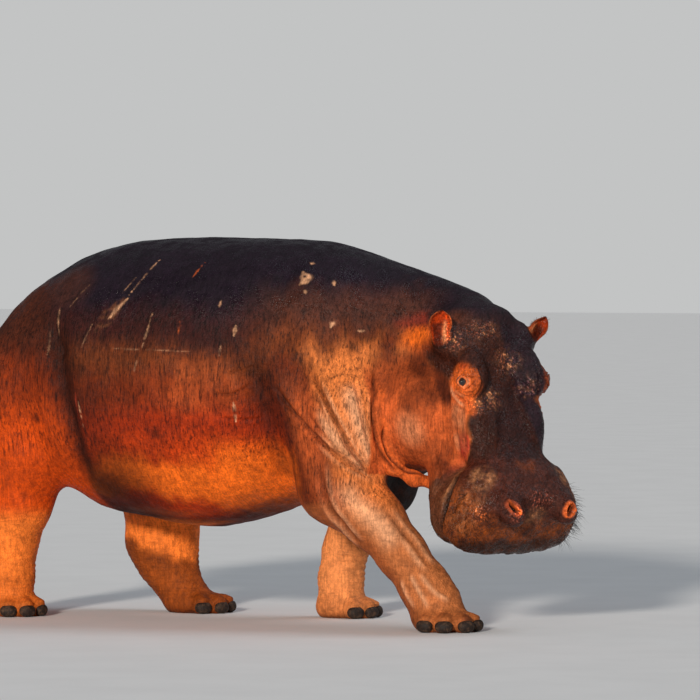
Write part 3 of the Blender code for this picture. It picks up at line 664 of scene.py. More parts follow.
def fineness(folds):
    """The wanted edge length at each place: short where the form is small or folded."""
    spots = []
    for hand in (1, -1):
        spots.append((side_of(EYE_AT, hand), 0.05, 0.0021))
        spots.append((ear_axes(hand)[3], EAR_DISC, 0.0025))
        spots.append((nostril_axes(hand)[0], 0.036, 0.0026))
    spots.append((settle(np.array([TAIL_ROOT]))[0], TAIL_DISC, 0.0065))
    for foot in FEET:
        for place, _ in toe_places(foot):
            spots.append((np.array([*place, 0.03]), 0.05, 0.0075))
    scars = scar_lines()

    def limit(p):
        u, v, w = both_sides(to_head(p)).T
        want = 0.028 - 0.01 * ease(0.42, 0.62, p[:, 0]) - 0.012 * ease(0.62, 0.4, p[:, 2])
        want = np.where(p[:, 2] < 0.16, 0.0115, want)
        inside = (p[:, 0] > 0.86) & (v < 0.38) & (w > -0.56)
        want = np.where(inside & (u > -0.34), np.minimum(want, 0.015), want)
        want = np.where(inside & (u > -0.13), np.minimum(want, 0.0105), want)
        want = np.where(inside & (u > 0.22), np.minimum(want, 0.0085), want)
        for place, radius, length in spots:
            off = size_of(p - place) - radius
            want = np.minimum(want, length + 0.34 * np.maximum(off, 0))
        for line, width, _, _, _ in folds:
            index, off, _ = near_line(p, line, 2.2 * width + 0.03)
            length = 0.8 * width + 0.34 * np.maximum(off - 1.6 * width, 0)
            want[index] = np.minimum(want[index], np.maximum(length, 0.0042))
        for line, width, _, _ in scars:
            index, off, _ = near_line(p, line, width + 0.025)
            length = 0.0048 + 0.8 * np.maximum(off - width, 0)
            want[index] = np.minimum(want[index], length)
        return 1.1 * want

    return limit


def skin_form(folds):
    """The flesh as fine triangles: a coarse net, halved and settled until it is fine enough."""
    points, quads = surface_net(flesh, (-1.04, -0.64, -0.07), (1.86, 0.64, 1.56), 0.022)
    points = settle(points)
    faces = halves(points, quads)
    limit = fineness(folds)
    for _ in range(7):
        before = len(points)
        points, faces, added = split_long(points, faces, limit)
        points = relaxed(points, faces, 0.6)
        points = settle(points, 1 if added else 2)
        if added < 0.01 * before:
            break
    for _ in range(2):
        points = relaxed(points, faces, 0.5)
        points = settle(points, 2)
    return points, faces


# ---------- relief of the skin
def note(marks, name, index, share):
    """Raises a mark at the chosen points to the share, where it is below it."""
    marks[name][index] = np.maximum(marks[name][index], share)


def folded(p, folds, marks):
    """Rise of the skin from its folds: a groove exp(-(d/w)^2) deep at the line, with a rounded
    lip on each side, both fading out towards the fold's ends. A negative depth is a ridge."""
    rise = np.zeros(len(p))
    for line, width, depth, lip, name in folds:
        index, off, share = near_line(p, line, 4.0 * width)
        ends = ease(0.0, 0.22, share) * ease(1.0, 0.8, share)
        if name in LONG_FOLDS:
            ends = ease(0.0, 0.16, share) * (ease(1.0, 0.92, share) if name != "mouth" else 1)
        wave = 1 + 0.3 * grain(p[index], 22, 3)
        groove = bell(off, width) * ends
        rise[index] += wave * (lip * bell(off - 2.1 * width, width) * ends - depth * groove)
        # painted shade: how dark each groove is painted
        dark = bell(off, 0.8 * width) * ends * np.clip(depth / 0.016, 0, 1)
        note(marks, "furrow_shade", index, dark)
        # painted highlight: how bright each ridge and lip is painted
        bright = np.clip(-depth / 0.014, 0, 1) + np.clip(lip / 0.009, 0, 1) * bell(
            off - 2.1 * width, width)
        bright = bright * np.where(depth < 0, groove, ends)
        note(marks, "ridge", index, bright)
    return rise


def relief(p, folds, fold_share, marks):
    """Rise of the skin along its normal at each place, from lumps, rings, sinews and folds."""
    side = both_sides(to_head(p))
    u, v, w = side.T
    floor = np.where(u > 0.12, -0.445, -0.52)
    on_head = ease(-0.27, -0.17, u) * ease(0.385, 0.365, v) * ease(-0.03, 0.01, w - floor)
    on_head = on_head * (p[:, 0] > 0.88)
    low = ease(0.52, 0.4, p[:, 2]) * (1 - on_head) * ease(0.06, 0.13, np.abs(p[:, 1]))
    belly = ease(0.075, 0.03, np.abs(p[:, 2] - section(TRUNK, p[:, 0])[1]))
    low = low * (1 - belly * ease(0.36, 0.4, p[:, 2]))
    trunk = (1 - on_head) * (1 - low)
    rise = trunk * (0.006 * grain(p, 5.0, 1) + 0.0028 * grain(p, 13.0, 2))
    # upright ripples round the barrel, strongest in the creased flank and the rump
    ripple = grain(p * (24, 5, 4), 1.0, 4) + 0.6 * grain(p * (60, 9, 7), 1.0, 5)
    rise += trunk * 0.0021 * ripple * (1 - 0.5 * ease(1.15, 1.38, p[:, 2]))
    # rings round the limbs, closest above the feet
    ring = np.sin(p[:, 2] * 2 * np.pi / 0.024 + 2.6 * grain(p, 9, 6))
    near_foot = ease(0.46, 0.2, p[:, 2]) * ease(0.05, 0.1, p[:, 2])
    near_foot = near_foot * np.where((p[:, 0] > 0.9) & (p[:, 1] < 0), 0.25, 1.0)
    rise += low * near_foot * 0.0023 * ring * (0.7 + 0.3 * grain(p, 14, 7))
    rise += low * 0.004 * grain(p, 9.0, 8)
    # bristle bumps and pebbled hide on the face and muzzle
    pebble = grain(p, 85.0, 9) + 0.6 * grain(p, 170.0, 10)
    front = ease(0.18, 0.34, u)
    rise += on_head * (0.0008 + 0.0009 * front) * pebble
    rise += on_head * (0.003 * grain(p, 16.0, 11) + 0.0016 * front * grain(p, 34.0, 13))
    wrinkled = ease(0.15, 0.03, np.abs(u - 0.02)) * ease(0.12, 0.17, v)
    slant = np.sin((w * 0.8 + u * 0.5) * 2 * np.pi / 0.017 + 1.8 * grain(p, 25, 12))
    rise += on_head * wrinkled * 0.0012 * slant
    # ridges beside the bridge of the nose, bosses of brow and muzzle, folds of the lids
    edge = np.interp(np.maximum(u, 0.02), *BRIDGE_EDGE)
    rise += on_head * 0.0055 * bell(v - edge, 0.018) * ease(-0.02, 0.06, u) * ease(0.4, 0.3, u)
    rise -= on_head * 0.003 * bell(v, 0.045) * ease(0.02, 0.1, u) * ease(0.4, 0.3, u)
    for place, size, height in BOSSES:
        rise += height * bell(size_of(side - place), size)
    for width, name, _, points in LID_FOLDS:
        rise += on_head * LID_RISE.get(name, 0.0) * stroke(side, points, width)
    rise += fold_share * folded(p, folds, marks)
    # a groove round each toenail and a cuticle outside it
    for foot in FEET:
        for centre, axes in nail_places(foot):
            index = np.flatnonzero(np.abs(p - centre).max(1) < 0.06)
            off = egg(p[index], centre, NAIL_RADII, axes)
            rise[index] += 0.0035 * bell(off - 0.009, 0.006) - 0.003 * bell(off, 0.004)
    roll = limb(side, THROAT_ROLL, 1.0)
    marks["roll"] = ease(0.012, 0.003, roll) * (p[:, 0] > 0.88) * ease(0.16, 0.06, marks["furrow_shade"])
    marks["head"] = on_head
    marks["low"] = low
    return rise


def shape_eye(p, hand, marks):
    """Lids: skin near the eye keeps its direction from the eye's centre but takes a new
    distance from it, dipping behind the ball inside an almond and swelling into lids round it."""
    centre = side_of(EYE_AT, hand)
    gaze, lids, over = eye_axes(hand)
    d = p - centre
    index = np.flatnonzero((size_of(d) < EYE_DISC) & (d @ gaze > -0.02))
    d = d[index]
    reach = size_of(d)
    ahead, across, up = d @ gaze, d @ lids, d @ over
    a = np.arctan2(across, ahead)
    b = np.arctan2(up, ahead)
    half = np.where(b > 0, 0.66, 0.52)
    open_share = np.abs(b) / half + (np.abs(a) / 0.78) ** 2.2
    upper = ease(-0.2, 0.5, b)
    inner = EYE_RADIUS - 0.007
    rim = EYE_RADIUS + 0.0022 + 0.002 * upper
    lid = ease(0.8, 1.08, open_share)
    target = inner + (rim - inner) * lid
    # a rounded roll behind the rim, then a crease, then the mound
    outward = open_share - 1
    roll = (0.003 + 0.003 * upper) * bell(outward - 0.42, 0.34)
    crease = (0.005 * bell(outward - 1.2, 0.24) + 0.0022 * bell(outward - 2.0, 0.26)) * (
        0.5 + 0.6 * upper)
    dome = 0.0065 * bell(outward - 2.0, 0.9) * upper
    natural = reach + roll + dome - crease * ease(0, 0.3, outward)
    near = ease(1.25, 0.85, np.sqrt(a ** 2 + b ** 2))
    shaped = np.where(open_share < 1.08, target,
                      np.maximum(natural, (rim + roll) * near + natural * (1 - near)))
    keep = ease(EYE_DISC, 0.06, reach)
    p[index] = centre + d * ((reach + (shaped - reach) * keep) / reach)[:, None]
    note(marks, "socket", index, ease(0.98, 0.8, open_share))
    note(marks, "lid", index, bell(outward - 0.12, 0.1))
    note(marks, "crease", index, bell(outward - 1.2, 0.2) * upper)
    return p


def shape_nostril(p, hand, marks):
    """A slit sunk into the skin, inside a raised soft ring with a moat round it."""
    place, out, slit, wide = nostril_axes(hand)
    d = p - place
    index = np.flatnonzero(size_of(d) < NOSTRIL_DISC)
    d = d[index]
    a, b = d @ slit, d @ wide
    bow = b - 0.006 * (a / 0.026) ** 2 + 0.003
    q = np.sqrt((a / NOSTRIL_HALF[0]) ** 2 + (bow / NOSTRIL_HALF[1]) ** 2)
    sunk = 0.026 * ease(1.35, 0.15, q)
    off = np.sqrt((a / 0.038) ** 2 + (b / 0.029) ** 2)
    ring = 0.005 * bell(off - 0.66, 0.26) * ease(0.8, 1.3, q)
    moat = 0.003 * bell(off - 1.25, 0.2)
    p[index] += (ring - sunk - moat)[:, None] * out
    note(marks, "nostril", index, ease(1.1, 0.35, q))
    note(marks, "nostril_rim", index, ease(1.02, 0.78, off) * ease(0.9, 1.4, q))
    inside = ease(1.6, 1.1, q) * ease(0.25, 0.9, q) * (b * hand < 0.004)
    note(marks, "nostril_wall", index, inside)
    return p


def draw_ear(p, hand, marks):
    """A cupped leaf drawn out of the skin: a disc of radius R round the root is carried up the
    ear, height L (1 - (r/R)^1.3), and its directions become the leaf's front and back."""
    up, across, front, root, length = ear_axes(hand)
    d = p - root
    reach = size_of(d)
    index = np.flatnonzero(reach < EAR_DISC)
    d = d[index]
    r = reach[index] / EAR_DISC
    angle = np.arctan2(d @ front, d @ across)
    t = 1 - r ** 1.3
    wide = EAR_HALF_WIDTH * (0.58 + 1.6 * t * (1 - t) + 0.34 * t) * EAR_FULLNESS[hand]
    wide = wide * np.sqrt(1 - t ** EAR_BLUNTNESS[hand] * 0.995)
    thick = 0.0085 * (1 - 0.45 * t) * np.sqrt(1 - t ** 6 * 0.99)
    cup = 0.04 * np.sqrt(np.maximum(t, 0)) * (1 - 0.5 * t)
    c, s = np.cos(angle), np.sin(angle)
    side = wide * np.sign(c) * np.abs(c) ** 0.8
    edge = np.abs(side) / np.maximum(wide, 1e-6)
    face = cup * (edge ** 2 - 0.75)
    rolled = 0.0045 * bell(edge - 0.86, 0.14)
    face += np.where(s > 0, 1, -1) * thick * np.abs(s) ** 0.55 + rolled * (s > 0)
    ridge = 0.0095 * bell(side / EAR_HALF_WIDTH - 0.5 * hand, 0.17) * (s > 0)
    ridge = ridge * ease(0.02, 0.25, t) * ease(0.72, 0.45, t)
    face += ridge
    lean = -0.012 * t ** 2
    ear = (root - 0.012 * up + (length + 0.012) * t[:, None] * up + side[:, None] * across
           + (face + lean)[:, None] * front)
    share = ease(1.0, 0.62, r)[:, None]
    p[index] = p[index] + share * (ear - p[index])
    tall = ease(0.97, 0.8, r)
    note(marks, "ear", index, ease(0.98, 0.8, r))
    inside = ease(0.1, 0.5, s) * tall * ease(0.98, 0.8, edge)
    note(marks, "ear_inside", index, inside)
    note(marks, "ear_rim", index, bell(edge - 0.95, 0.12) * tall)
    note(marks, "ear_ridge", index, np.clip(ridge / 0.007, 0, 1) * tall)
    note(marks, "ear_root", index, bell(r - 0.95, 0.1))
    hollow = inside * ease(0.66, 0.44, t) * ease(0.8, 0.55, edge)
    hollow = hollow * (1 - np.clip(ridge / 0.004, 0, 1))
    note(marks, "ear_hollow", index, hollow)
    return p


def draw_tail(p, marks):
    """The tail drawn out of the rump: a disc round its root is swept down the tail's curve, so
    each circle of the disc becomes a ring of the tail."""
    root = settle(np.array([TAIL_ROOT]))[0]
    d = p - root
    reach = size_of(d)
    index = np.flatnonzero((reach < TAIL_DISC) & (p[:, 0] < root[0] + 0.06))
    d = d[index]
    r = reach[index] / TAIL_DISC
    angle = np.arctan2(-d[:, 2], d[:, 1])
    t = 1 - r ** 1.2
    table = np.array([(root[0], 0, root[2], 0.06)] + TAIL[1:])
    shares = np.array([0, 0.16, 0.5, 0.86, 1.0])
    x, z, width = (along(t, shares, table[:, k]) for k in (0, 2, 3))
    step = 0.01
    dx = along(t + step, shares, table[:, 0]) - along(t - step, shares, table[:, 0])
    dz = along(t + step, shares, table[:, 2]) - along(t - step, shares, table[:, 2])
    size = np.hypot(dx, dz)
    inner = np.stack([-dz / size, 0 * dx, dx / size], 1)
    round_tip = np.sqrt(1 - t ** 8 * 0.995)
    flat = 0.75 - 0.2 * t
    ringed = 1 + 0.03 * np.sin(z * 2 * np.pi / 0.022)
    tail = np.stack([x, 0 * x, z], 1)
    tail[:, 1] += width * flat * np.cos(angle) * round_tip * ringed
    tail += (width * np.sin(angle) * round_tip * ringed)[:, None] * inner
    share = ease(1.0, 0.66, r)[:, None]
    p[index] = p[index] + share * (tail - p[index])
    marks["tail"][index] = ease(0.98, 0.7, r)
    return p


SHAPED_MARKS = ("furrow_shade", "ridge", "socket", "lid", "crease", "nostril", "nostril_rim",
                "nostril_wall", "ear", "ear_inside", "ear_rim", "ear_ridge", "ear_root",
                "ear_hollow", "tail")


@lru_cache(maxsize=1)
def shape_skin(fold_share):
    """The whole skin: points, faces, the unshaped points and the marks used by its paint. It is
    worked out once and kept, since both the skin and its bristles need it."""
    folds = fold_lines()
    base, faces = skin_form(folds)
    marks = {name: np.zeros(len(base)) for name in SHAPED_MARKS}
    p = base + relief(base, folds, fold_share, marks)[:, None] * normals_of(base, faces)
    for hand in (1, -1):
        p = shape_nostril(p, hand, marks)
        p = shape_eye(p, hand, marks)
        p = draw_ear(p, hand, marks)
    p = draw_tail(p, marks)
    p[:, 2] = np.maximum(p[:, 2], 0)
    return p, faces, base, marks


# ---------- paint of the skin
def wash(paint, colour, share):
    """Lays a colour over the paint; share is how much of it shows at each point."""
    share = np.clip(np.asarray(share) * np.ones(len(paint)), 0, 1)[:, None]
    return paint + share * (np.asarray(colour) - paint)


class Paint:
    """The hide's colour at each point, laid in washes of the named colours."""

    def __init__(self, height, tones):
        settings = bpy.context.scene.hippo_hide
        self.named = {name: np.array(getattr(settings, name)) for name in HIDE_COLOURS}
        self.hide = self.ramp(height, tones)

    def ramp(self, height, tones):
        """Colour at each height, running smoothly through the named colours."""
        paint = np.tile(self.named[tones[0][1]], (len(height), 1))
        for (low, _), (high, name) in zip(tones[:-1], tones[1:]):
            paint = wash(paint, self.named[name], ease(low, high, height))
        return paint

    def lay(self, name, *shares, at=slice(None)):
        """Lays a named colour, at each point as thick as the product of its shares."""
        self.hide[at] = wash(self.hide[at], self.named[name], math.prod(shares))

    def lay_ramp(self, height, tones, share):
        """Lays a run of colours by height, where the share says."""
        self.hide = wash(self.hide, self.ramp(height, tones), share)


def spot(p, place, radii):
    """A soft patch, 1 at its place and gone at its radii."""
    return ease(1.0, 0.35, size_of((p - np.array(place)) / np.array(radii)))


def stroke(p, points, width):
    """A soft line through a few places, 1 at its middle and gone at its width."""
    share = np.zeros(len(p))
    index, off, _ = near_line(p, line_through(points, 0.02), width)
    share[index] = ease(1.0, 0.3, off / width)
    return share


def broken(noise, middle, spread):
    """A share round the middle value, broken up by noise and held between 0 and 1."""
    return np.clip(middle + spread * noise, 0, 1)


# height above the ground and the hide's colour there: partly its own colour, dark along the back and
# warm below, partly painted light, the back painted darker where low light grazes it and the belly
# brighter and more orange as if lit by a low warm sun
FLANK_TONES = [(0.41, "under"), (0.48, "belly"), (0.56, "belly"), (0.65, "low_flank"),
               (0.77, "warm_flank"), (0.9, "flank"), (1.0, "upper_flank"),
               (1.13, "high_flank"), (1.28, "back")]
THIGH_TONES = [(0.3, "hindleg"), (0.42, "thigh"), (0.7, "thigh"), (0.9, "hip"),
               (1.1, "rump"), (1.24, "rump"), (1.34, "back")]
NECK_TONES = [(0.5, "fore_flank"), (0.96, "fore_flank"), (1.06, "upper_flank"),
              (1.2, "neck_top"), (1.34, "back")]
# edges that climb the side: heights, and the edge's station at each
HAUNCH_EDGE = ([0.5, 0.6, 0.736, 0.89, 1.06, 1.2], [-0.21, -0.205, -0.222, -0.252, -0.292, -0.36])
SHOULDER_EDGE = ([0.45, 0.53, 0.69, 0.92, 1.1], [0.7, 0.685, 0.66, 0.6, 0.53])
BRIGHT_EDGE = ([0.5, 0.56, 0.68, 0.84, 1.05], [0.9, 0.875, 0.835, 0.79, 0.71])
SHIN_EDGE = ([0.1, 0.285, 0.41, 0.57], [1.21, 1.076, 0.965, 0.86])
# scars: points along the right side, half width, colour, strength
SCARS = [
    ([(0.005, -0.455, 1.25), (0.045, -0.4, 1.32), (0.066, -0.325, 1.385)], 0.0052, "pale", 0.75),
    ([(-0.11, -0.505, 1.115), (-0.06, -0.49, 1.17), (-0.015, -0.463, 1.23)], 0.044, "lip", 0.9),
    ([(-0.06, -0.495, 1.16), (-0.025, -0.478, 1.205), (0.005, -0.463, 1.24)], 0.014, "pale",
     0.75),
    ([(0.25, -0.53, 0.97), (0.262, -0.53, 0.905)], 0.006, "pink", 0.35),
    ([(0.09, -0.53, 1.01), (0.08, -0.53, 0.96)], 0.006, "pale", 0.4),
    ([(-0.335, -0.44, 1.1), (-0.33, -0.47, 1.02)], 0.005, "pale", 0.3),
    ([(0.42, -0.46, 1.06), (0.415, -0.47, 1.02)], 0.006, "pale", 0.35),
    ([(0.105, -0.537, 1.037), (0.121, -0.519, 1.113), (0.131, -0.491, 1.188)], 0.006, "pale", 0.6),
    ([(0.253, -0.499, 1.151), (0.254, -0.514, 1.102)], 0.0068, "pink", 0.75),
    ([(0.477, -0.466, 1.141), (0.475, -0.477, 1.1)], 0.0085, "pale", 0.7),
    ([(0.669, -0.29, 1.34), (0.692, -0.31, 1.31), (0.678, -0.331, 1.291)], 0.02, "pale", 0.9),
    ([(0.7, -0.335, 1.27), (0.709, -0.34, 1.258)], 0.009, "pale", 0.75),
    ([(0.672, -0.24, 1.378), (0.69, -0.24, 1.378)], 0.01, "pale", 0.8),
    ([(0.785, -0.262, 1.305), (0.798, -0.28, 1.29)], 0.014, "pale", 0.8),
    ([(0.819, -0.33, 1.168), (0.815, -0.341, 1.13)], 0.012, "pale", 0.75),
    ([(0.905, -0.295, 1.119), (0.93, -0.285, 1.121)], 0.008, "pale", 0.75),
    ([(-0.31, -0.44, 1.201), (-0.304, -0.487, 1.098)], 0.0058, "pale", 0.55),
    ([(-0.17, -0.526, 0.85), (-0.163, -0.508, 0.745)], 0.0075, "pale", 0.55),
    ([(-0.185, -0.524, 0.88), (-0.19, -0.52, 0.8)], 0.01, "red", 0.35),
    ([(0.479, -0.485, 0.851), (0.479, -0.47, 0.776)], 0.008, "pale", 0.75),
    ([(-0.066, -0.53, 1.051), (0.11, -0.535, 1.046), (0.31, -0.52, 1.04)], 0.0045, "pale", 0.26),
    ([(0.402, -0.439, 1.234), (0.4, -0.45, 1.2)], 0.006, "pale", 0.45),
    ([(0.263, -0.324, 1.377), (0.25, -0.392, 1.321)], 0.005, "pink", 0.6),
    ([(0.02, -0.4, 1.335), (-0.03, -0.455, 1.26)], 0.004, "pale", 0.35),
    ([(-0.2, -0.4, 1.29), (-0.26, -0.45, 1.2)], 0.0045, "pale", 0.3),
    ([(-0.13, -0.49, 1.14), (-0.16, -0.51, 1.05)], 0.0045, "pale", 0.35),
]
DARK_SPOTS = [((-0.407, -0.464, 0.778), 0.03), ((0.159, -0.539, 0.83), 0.02),
              ((0.157, -0.521, 0.731), 0.03), ((1.113, -0.31, 0.725), 0.016)]


def scar_lines():
    """Every scar as (line of points on the skin, half width, colour, strength)."""
    return [(settle(line_through(points, 0.008)), width, colour, share)
            for points, width, colour, share in SCARS]


def paint_trunk(base):
    """Near black along the back, red brown down the flank, orange under the belly, partly painted
    light, with painted shade in the hollows, under the belly and round the breast.
    """
    x, y, z = base.T
    profile = base * (1, 0, 1)
    rough, fine = grain(base, 6, 21), grain(base, 24, 22)
    streaks = grain(base * (45, 14, 3), 1.0, 23)
    ragged = 0.03 * rough + 0.014 * fine + 0.026 * streaks
    wide = 0.03 * grain(base, 2.5, 28) + 0.014 * grain(base, 11, 29)
    lowered = 0.05 * ease(0.36, 0.2, x) * ease(0.62, 0.52, z)
    paint = Paint(z + ragged + wide - lowered, FLANK_TONES)
    lay = paint.lay
    front = ease(0.3, 0.45, x) * ease(0.405, 0.435, z + ragged) * ease(0.75, 0.61, z + wide)
    lay("belly", 0.85 * front)
    # painted shade in the groin
    lay("armpit", 0.55 * spot(profile, (-0.118, 0, 0.53), (0.09, 1, 0.07)))
    warm = spot(profile, (0.33, 0, 0.91), (0.26, 1, 0.15))
    lay("cheek", 0.42 * warm * broken(fine, 0.8 + 0.6 * rough, 0.5))
    # painted shade: the rear of the flank darkened, most low down, where the belly curves in towards
    # the thigh
    rear = ease(0.24, -0.06, x) * (0.24 + 0.56 * ease(0.74, 0.52, z)) * ease(1.05, 0.95, z)
    paint.hide *= (1 - rear)[:, None]
    under = z - section(TRUNK, x)[1]
    # painted shade along the underside of the belly
    lay("armpit", 0.55 * ease(0.045, 0.005, under + 0.3 * ragged))
    # haunch, parted from the flank by a wide hollow, painted dark as shade along with the flank just
    # in front of it
    seam = np.interp(z, *HAUNCH_EDGE)
    soft = 0.1 * ease(0.98, 1.15, z)
    hind = ease(0.015 + soft, -0.025 - soft, x - seam + 0.015 * rough + 0.4 * soft * streaks)
    paint.lay_ramp(z + ragged, THIGH_TONES, hind)
    lay("rump", 0.7 * ease(-0.62, -0.85, x))
    hollow = bell(x - seam, 0.05 + 0.035 * ease(0.75, 0.95, z)) * ease(0.48, 0.6, z)
    lay("valley", 0.8 * hollow * ease(1.2, 1.05, z))
    lay("valley", 0.35 * bell(x - seam - 0.12, 0.07), ease(0.45, 0.6, z), ease(0.95, 0.8, z))
    lay("neck_top", 0.65 * spot(profile, (-0.3, 0, 1.28), (0.15, 1, 0.11)))
    # neck and upper arm, the hollow behind them darkened with painted shade, the bright shoulder in
    # front
    edge = x - np.interp(z, *SHOULDER_EDGE)
    edge = edge + 0.015 * rough
    fore = ease(-soft, 0.05 + soft, edge + 0.4 * soft * streaks)
    paint.lay_ramp(z + ragged, NECK_TONES, fore)
    narrow = 0.02 + 0.05 * ease(0.62, 0.88, z)
    valley = bell(edge - 0.3 * narrow, narrow) * ease(0.46, 0.56, z) * ease(1.1, 0.9, z)
    lay("valley", 0.8 * valley)
    start = np.interp(z, *BRIGHT_EDGE)
    bright = ease(-0.02, 0.075, x - start + 0.02 * rough + 0.01 * streaks)
    bright = bright * ease(1.105, 1.005, z + 1.3 * ragged)
    arm = ease(-0.15, -0.07, x - start + 0.02 * rough) * ease(1.0, 0.82, z)
    lay("cheek", 0.6 * arm)
    lay("shoulder", 0.94 * bright)
    # painted shade in the fold between neck and shoulder blade
    lay("fore_flank", 0.88 * bell(x - 1.008, 0.046), ease(0.91, 0.98, z), ease(1.14, 1.06, z))
    # the top of the neck in the back's dark colour, with its painted bluish sky reflection
    lay("back", 0.9 * ease(1.05, 1.22, x), ease(0.22, 0.16, np.abs(y)), ease(0.95, 1.02, z))
    # bare skin behind and below each ear
    frayed = base + 0.02 * fine[:, None]
    for hand in (1, -1):
        lay("pink", 0.95 * spot(frayed, (1.15, hand * 0.25, 1.08), (0.115, 0.1, 0.085)))
        lay("sore", 0.6 * spot(frayed, (1.1, hand * 0.24, 1.15), (0.1, 0.1, 0.065)))
    # breast, armpits and the middle of the underside painted dark as shade
    breast = ease(0.68, 0.8, x) * ease(0.27, 0.19, np.abs(y)) * ease(0.66, 0.57, z)
    lay("valley", breast)
    lay("armpit", 0.75 * breast)
    lay("armpit", 0.6 * ease(0.5, 0.42, z), ease(0.3, 0.15, np.abs(y)))
    worn = 0.62 + 0.85 * grain(base * (60, 60, 90), 1.0, 24) + 0.3 * fine
    for line, width, colour, share in scar_lines():
        index, off, way = near_line(base, line, 1.6 * width)
        taper = width * (0.3 + 0.7 * np.sin(np.pi * way)) * (1 + 0.55 * grain(base[index], 48, 25))
        lay(colour, share * ease(1.0, 0.35, off / taper), np.clip(worn[index], 0, 1), at=index)
    for place, size in DARK_SPOTS:
        lay("valley", 0.75 * spot(base, place, (size,) * 3))
    return paint


def paint_limbs(lay, base, marks):
    """Bright forelegs, browner hind legs, a pale knee and mud above the soles, with painted shade at
    the ground and painted highlight on the sinews.
    """
    x, y, z = base.T
    low = marks["low"]
    rough, fine = grain(base, 8, 31), grain(base, 30, 32)
    fore, right = ease(0.36, 0.44, x), y < 0
    near_fore, far_fore = low * fore * right, low * fore * ~right
    near_hind, far_hind = low * (1 - fore) * right, low * (1 - fore) * ~right
    lay("foreleg", near_fore)
    lay("pale_leg", far_fore)
    lay("hindleg", near_hind, ease(0.45, 0.34, z))
    # the left hind leg: a pale knee above a muddy shank
    lay("hindleg", far_hind)
    ragged = 0.05 * rough + 0.03 * fine
    lay("mud", far_hind * 0.9, ease(0.28, 0.23, z + 0.3 * (x + 0.2) + ragged))
    frayed = base + 0.02 * fine[:, None]
    lay("mud", far_hind * 0.7, spot(frayed, (-0.33, 0.2, 0.26), (0.05, 0.2, 0.07)))
    lay("mud", near_hind * 0.3, ease(0.24, 0.12, z + ragged))
    lay("mud", low * 0.35, ease(0.1, 0.04, z + 0.02 * rough))
    # painted shade along the last few centimetres above the ground
    lay("valley", low * 0.7, ease(0.03, 0.0, z))
    # painted highlight on the raised sinews low on the legs
    sinew = low * np.clip(marks["ridge"], 0, 1) * (0.8 + 0.4 * fine)
    lay("pale", 0.45 * sinew, ease(0.36, 0.26, z))
    # the raised front of the right foreleg is paler, its rear browner
    shin = np.interp(z, *SHIN_EDGE)
    lay("shin", 0.75 * ease(0.0, -0.07, x - shin), near_fore)


# the upper edge of the warm side of the face: how far forward, and how high there
FACE_EDGE = (
    [-0.3, -0.16, -0.1, -0.035, 0.032, 0.067, 0.101, 0.127, 0.157, 0.206, 0.242,
     0.264, 0.3],
    [-0.16, -0.13, -0.1, -0.07, -0.035, -0.015, -0.018, -0.046, -0.068, -0.094,
     -0.144, -0.2, -0.26])
# wet places on brow and bridge painted paler as highlights, in the head's axes: place, half width,
# strength
GLINTS = [
    ((-0.149, -0.179, 0.036), 0.034, 0.45), ((-0.182, -0.082, 0.052), 0.036, 0.35),
    ((-0.176, -0.019, 0.061), 0.028, 0.25), ((-0.059, 0.037, 0.021), 0.042, 0.5),
    ((0.046, 0.099, 0.004), 0.036, 0.4), ((0.08, -0.064, -0.022), 0.036, 0.5),
    ((0.103, -0.132, -0.018), 0.028, 0.45), ((0.494, 0.011, -0.059), 0.038, 0.8),
    ((0.566, -0.125, -0.04), 0.026, 0.45), ((0.506, -0.225, -0.135), 0.024, 0.2)]
MOUTH_EDGE = ([0.23, 0.29, 0.335, 0.38, 0.425, 0.45, 0.474, 0.515, 0.56, 0.6],
              [-0.188, -0.172, -0.174, -0.202, -0.234, -0.272, -0.318, -0.347, -0.355, -0.358])
# tan patches of the muzzle, partly its own colour and partly painted wet highlight: place on the left
# side, radii, strength
TAN_PATCHES = [
    ((0.375, 0.19, -0.08), (0.07, 0.06, 0.065), 0.6),
    ((0.43, 0.235, -0.12), (0.085, 0.075, 0.075), 0.18),
    ((0.49, 0.262, -0.2), (0.08, 0.08, 0.065), 0.2),
    ((0.56, 0.02, -0.09), (0.05, 0.06, 0.06), 0.4)]


def face_top(h, ragged=0.0):
    """How far each place on the head belongs to its dark forehead, brows and bridge."""
    above = h[:, 2] - np.interp(h[:, 0], *FACE_EDGE) + ragged
    middle = ease(0.15, 0.125, np.abs(h[:, 1]) + ragged) * ease(-0.2, -0.15, h[:, 2])
    return np.maximum(ease(-0.012, 0.012, above), middle)


def lay_within(lay, limit, name, *shares):
    """Lays a named colour within a limit."""
    lay(name, limit, *shares)


def paint_cheeks(lay, face):
    """Orange cheeks with paler folds, and painted shade on the upper cheek, behind the eye and below
    the ear.
    """
    side, rough = face.side, face.rough
    u, v, w = side.T
    below = 1 - face.top
    lay("cheek", below)
    lay("fore_flank", below * 0.45 * ease(-0.2, -0.3, w + 0.03 * rough), ease(0.3, 0.22, v))
    lay("fore_flank", below * 0.55 * ease(-0.05, -0.12, u + 0.03 * rough), ease(-0.34, -0.26, w))
    lay("cheek_pale", below * 0.6, spot(side, (0.08, 0.31, -0.26), (0.13, 0.09, 0.1)))
    lay("fore_flank", below * 0.45, spot(side, (0.18, 0.21, -0.21), (0.06, 0.06, 0.06)))
    # painted shade on the upper cheek, behind the eye and below the ear
    lay("valley", below * 0.62, spot(side, (-0.04, 0.27, -0.205), (0.08, 0.09, 0.07)))
    behind_eye = stroke(side, [(-0.15, 0.19, -0.055), (-0.1, 0.192, -0.09),
                               (-0.04, 0.196, -0.105), (0.005, 0.196, -0.1)], 0.062)
    below_ear = stroke(side, [(-0.22, 0.2, -0.16), (-0.15, 0.2, -0.17),
                              (-0.08, 0.21, -0.175), (-0.03, 0.21, -0.16)], 0.075)
    lay("valley", 0.92, np.maximum(behind_eye, 0.8 * below_ear))
    lay("sore", 0.6, spot(side, (-0.205, 0.197, -0.1), (0.055, 0.05, 0.045)))


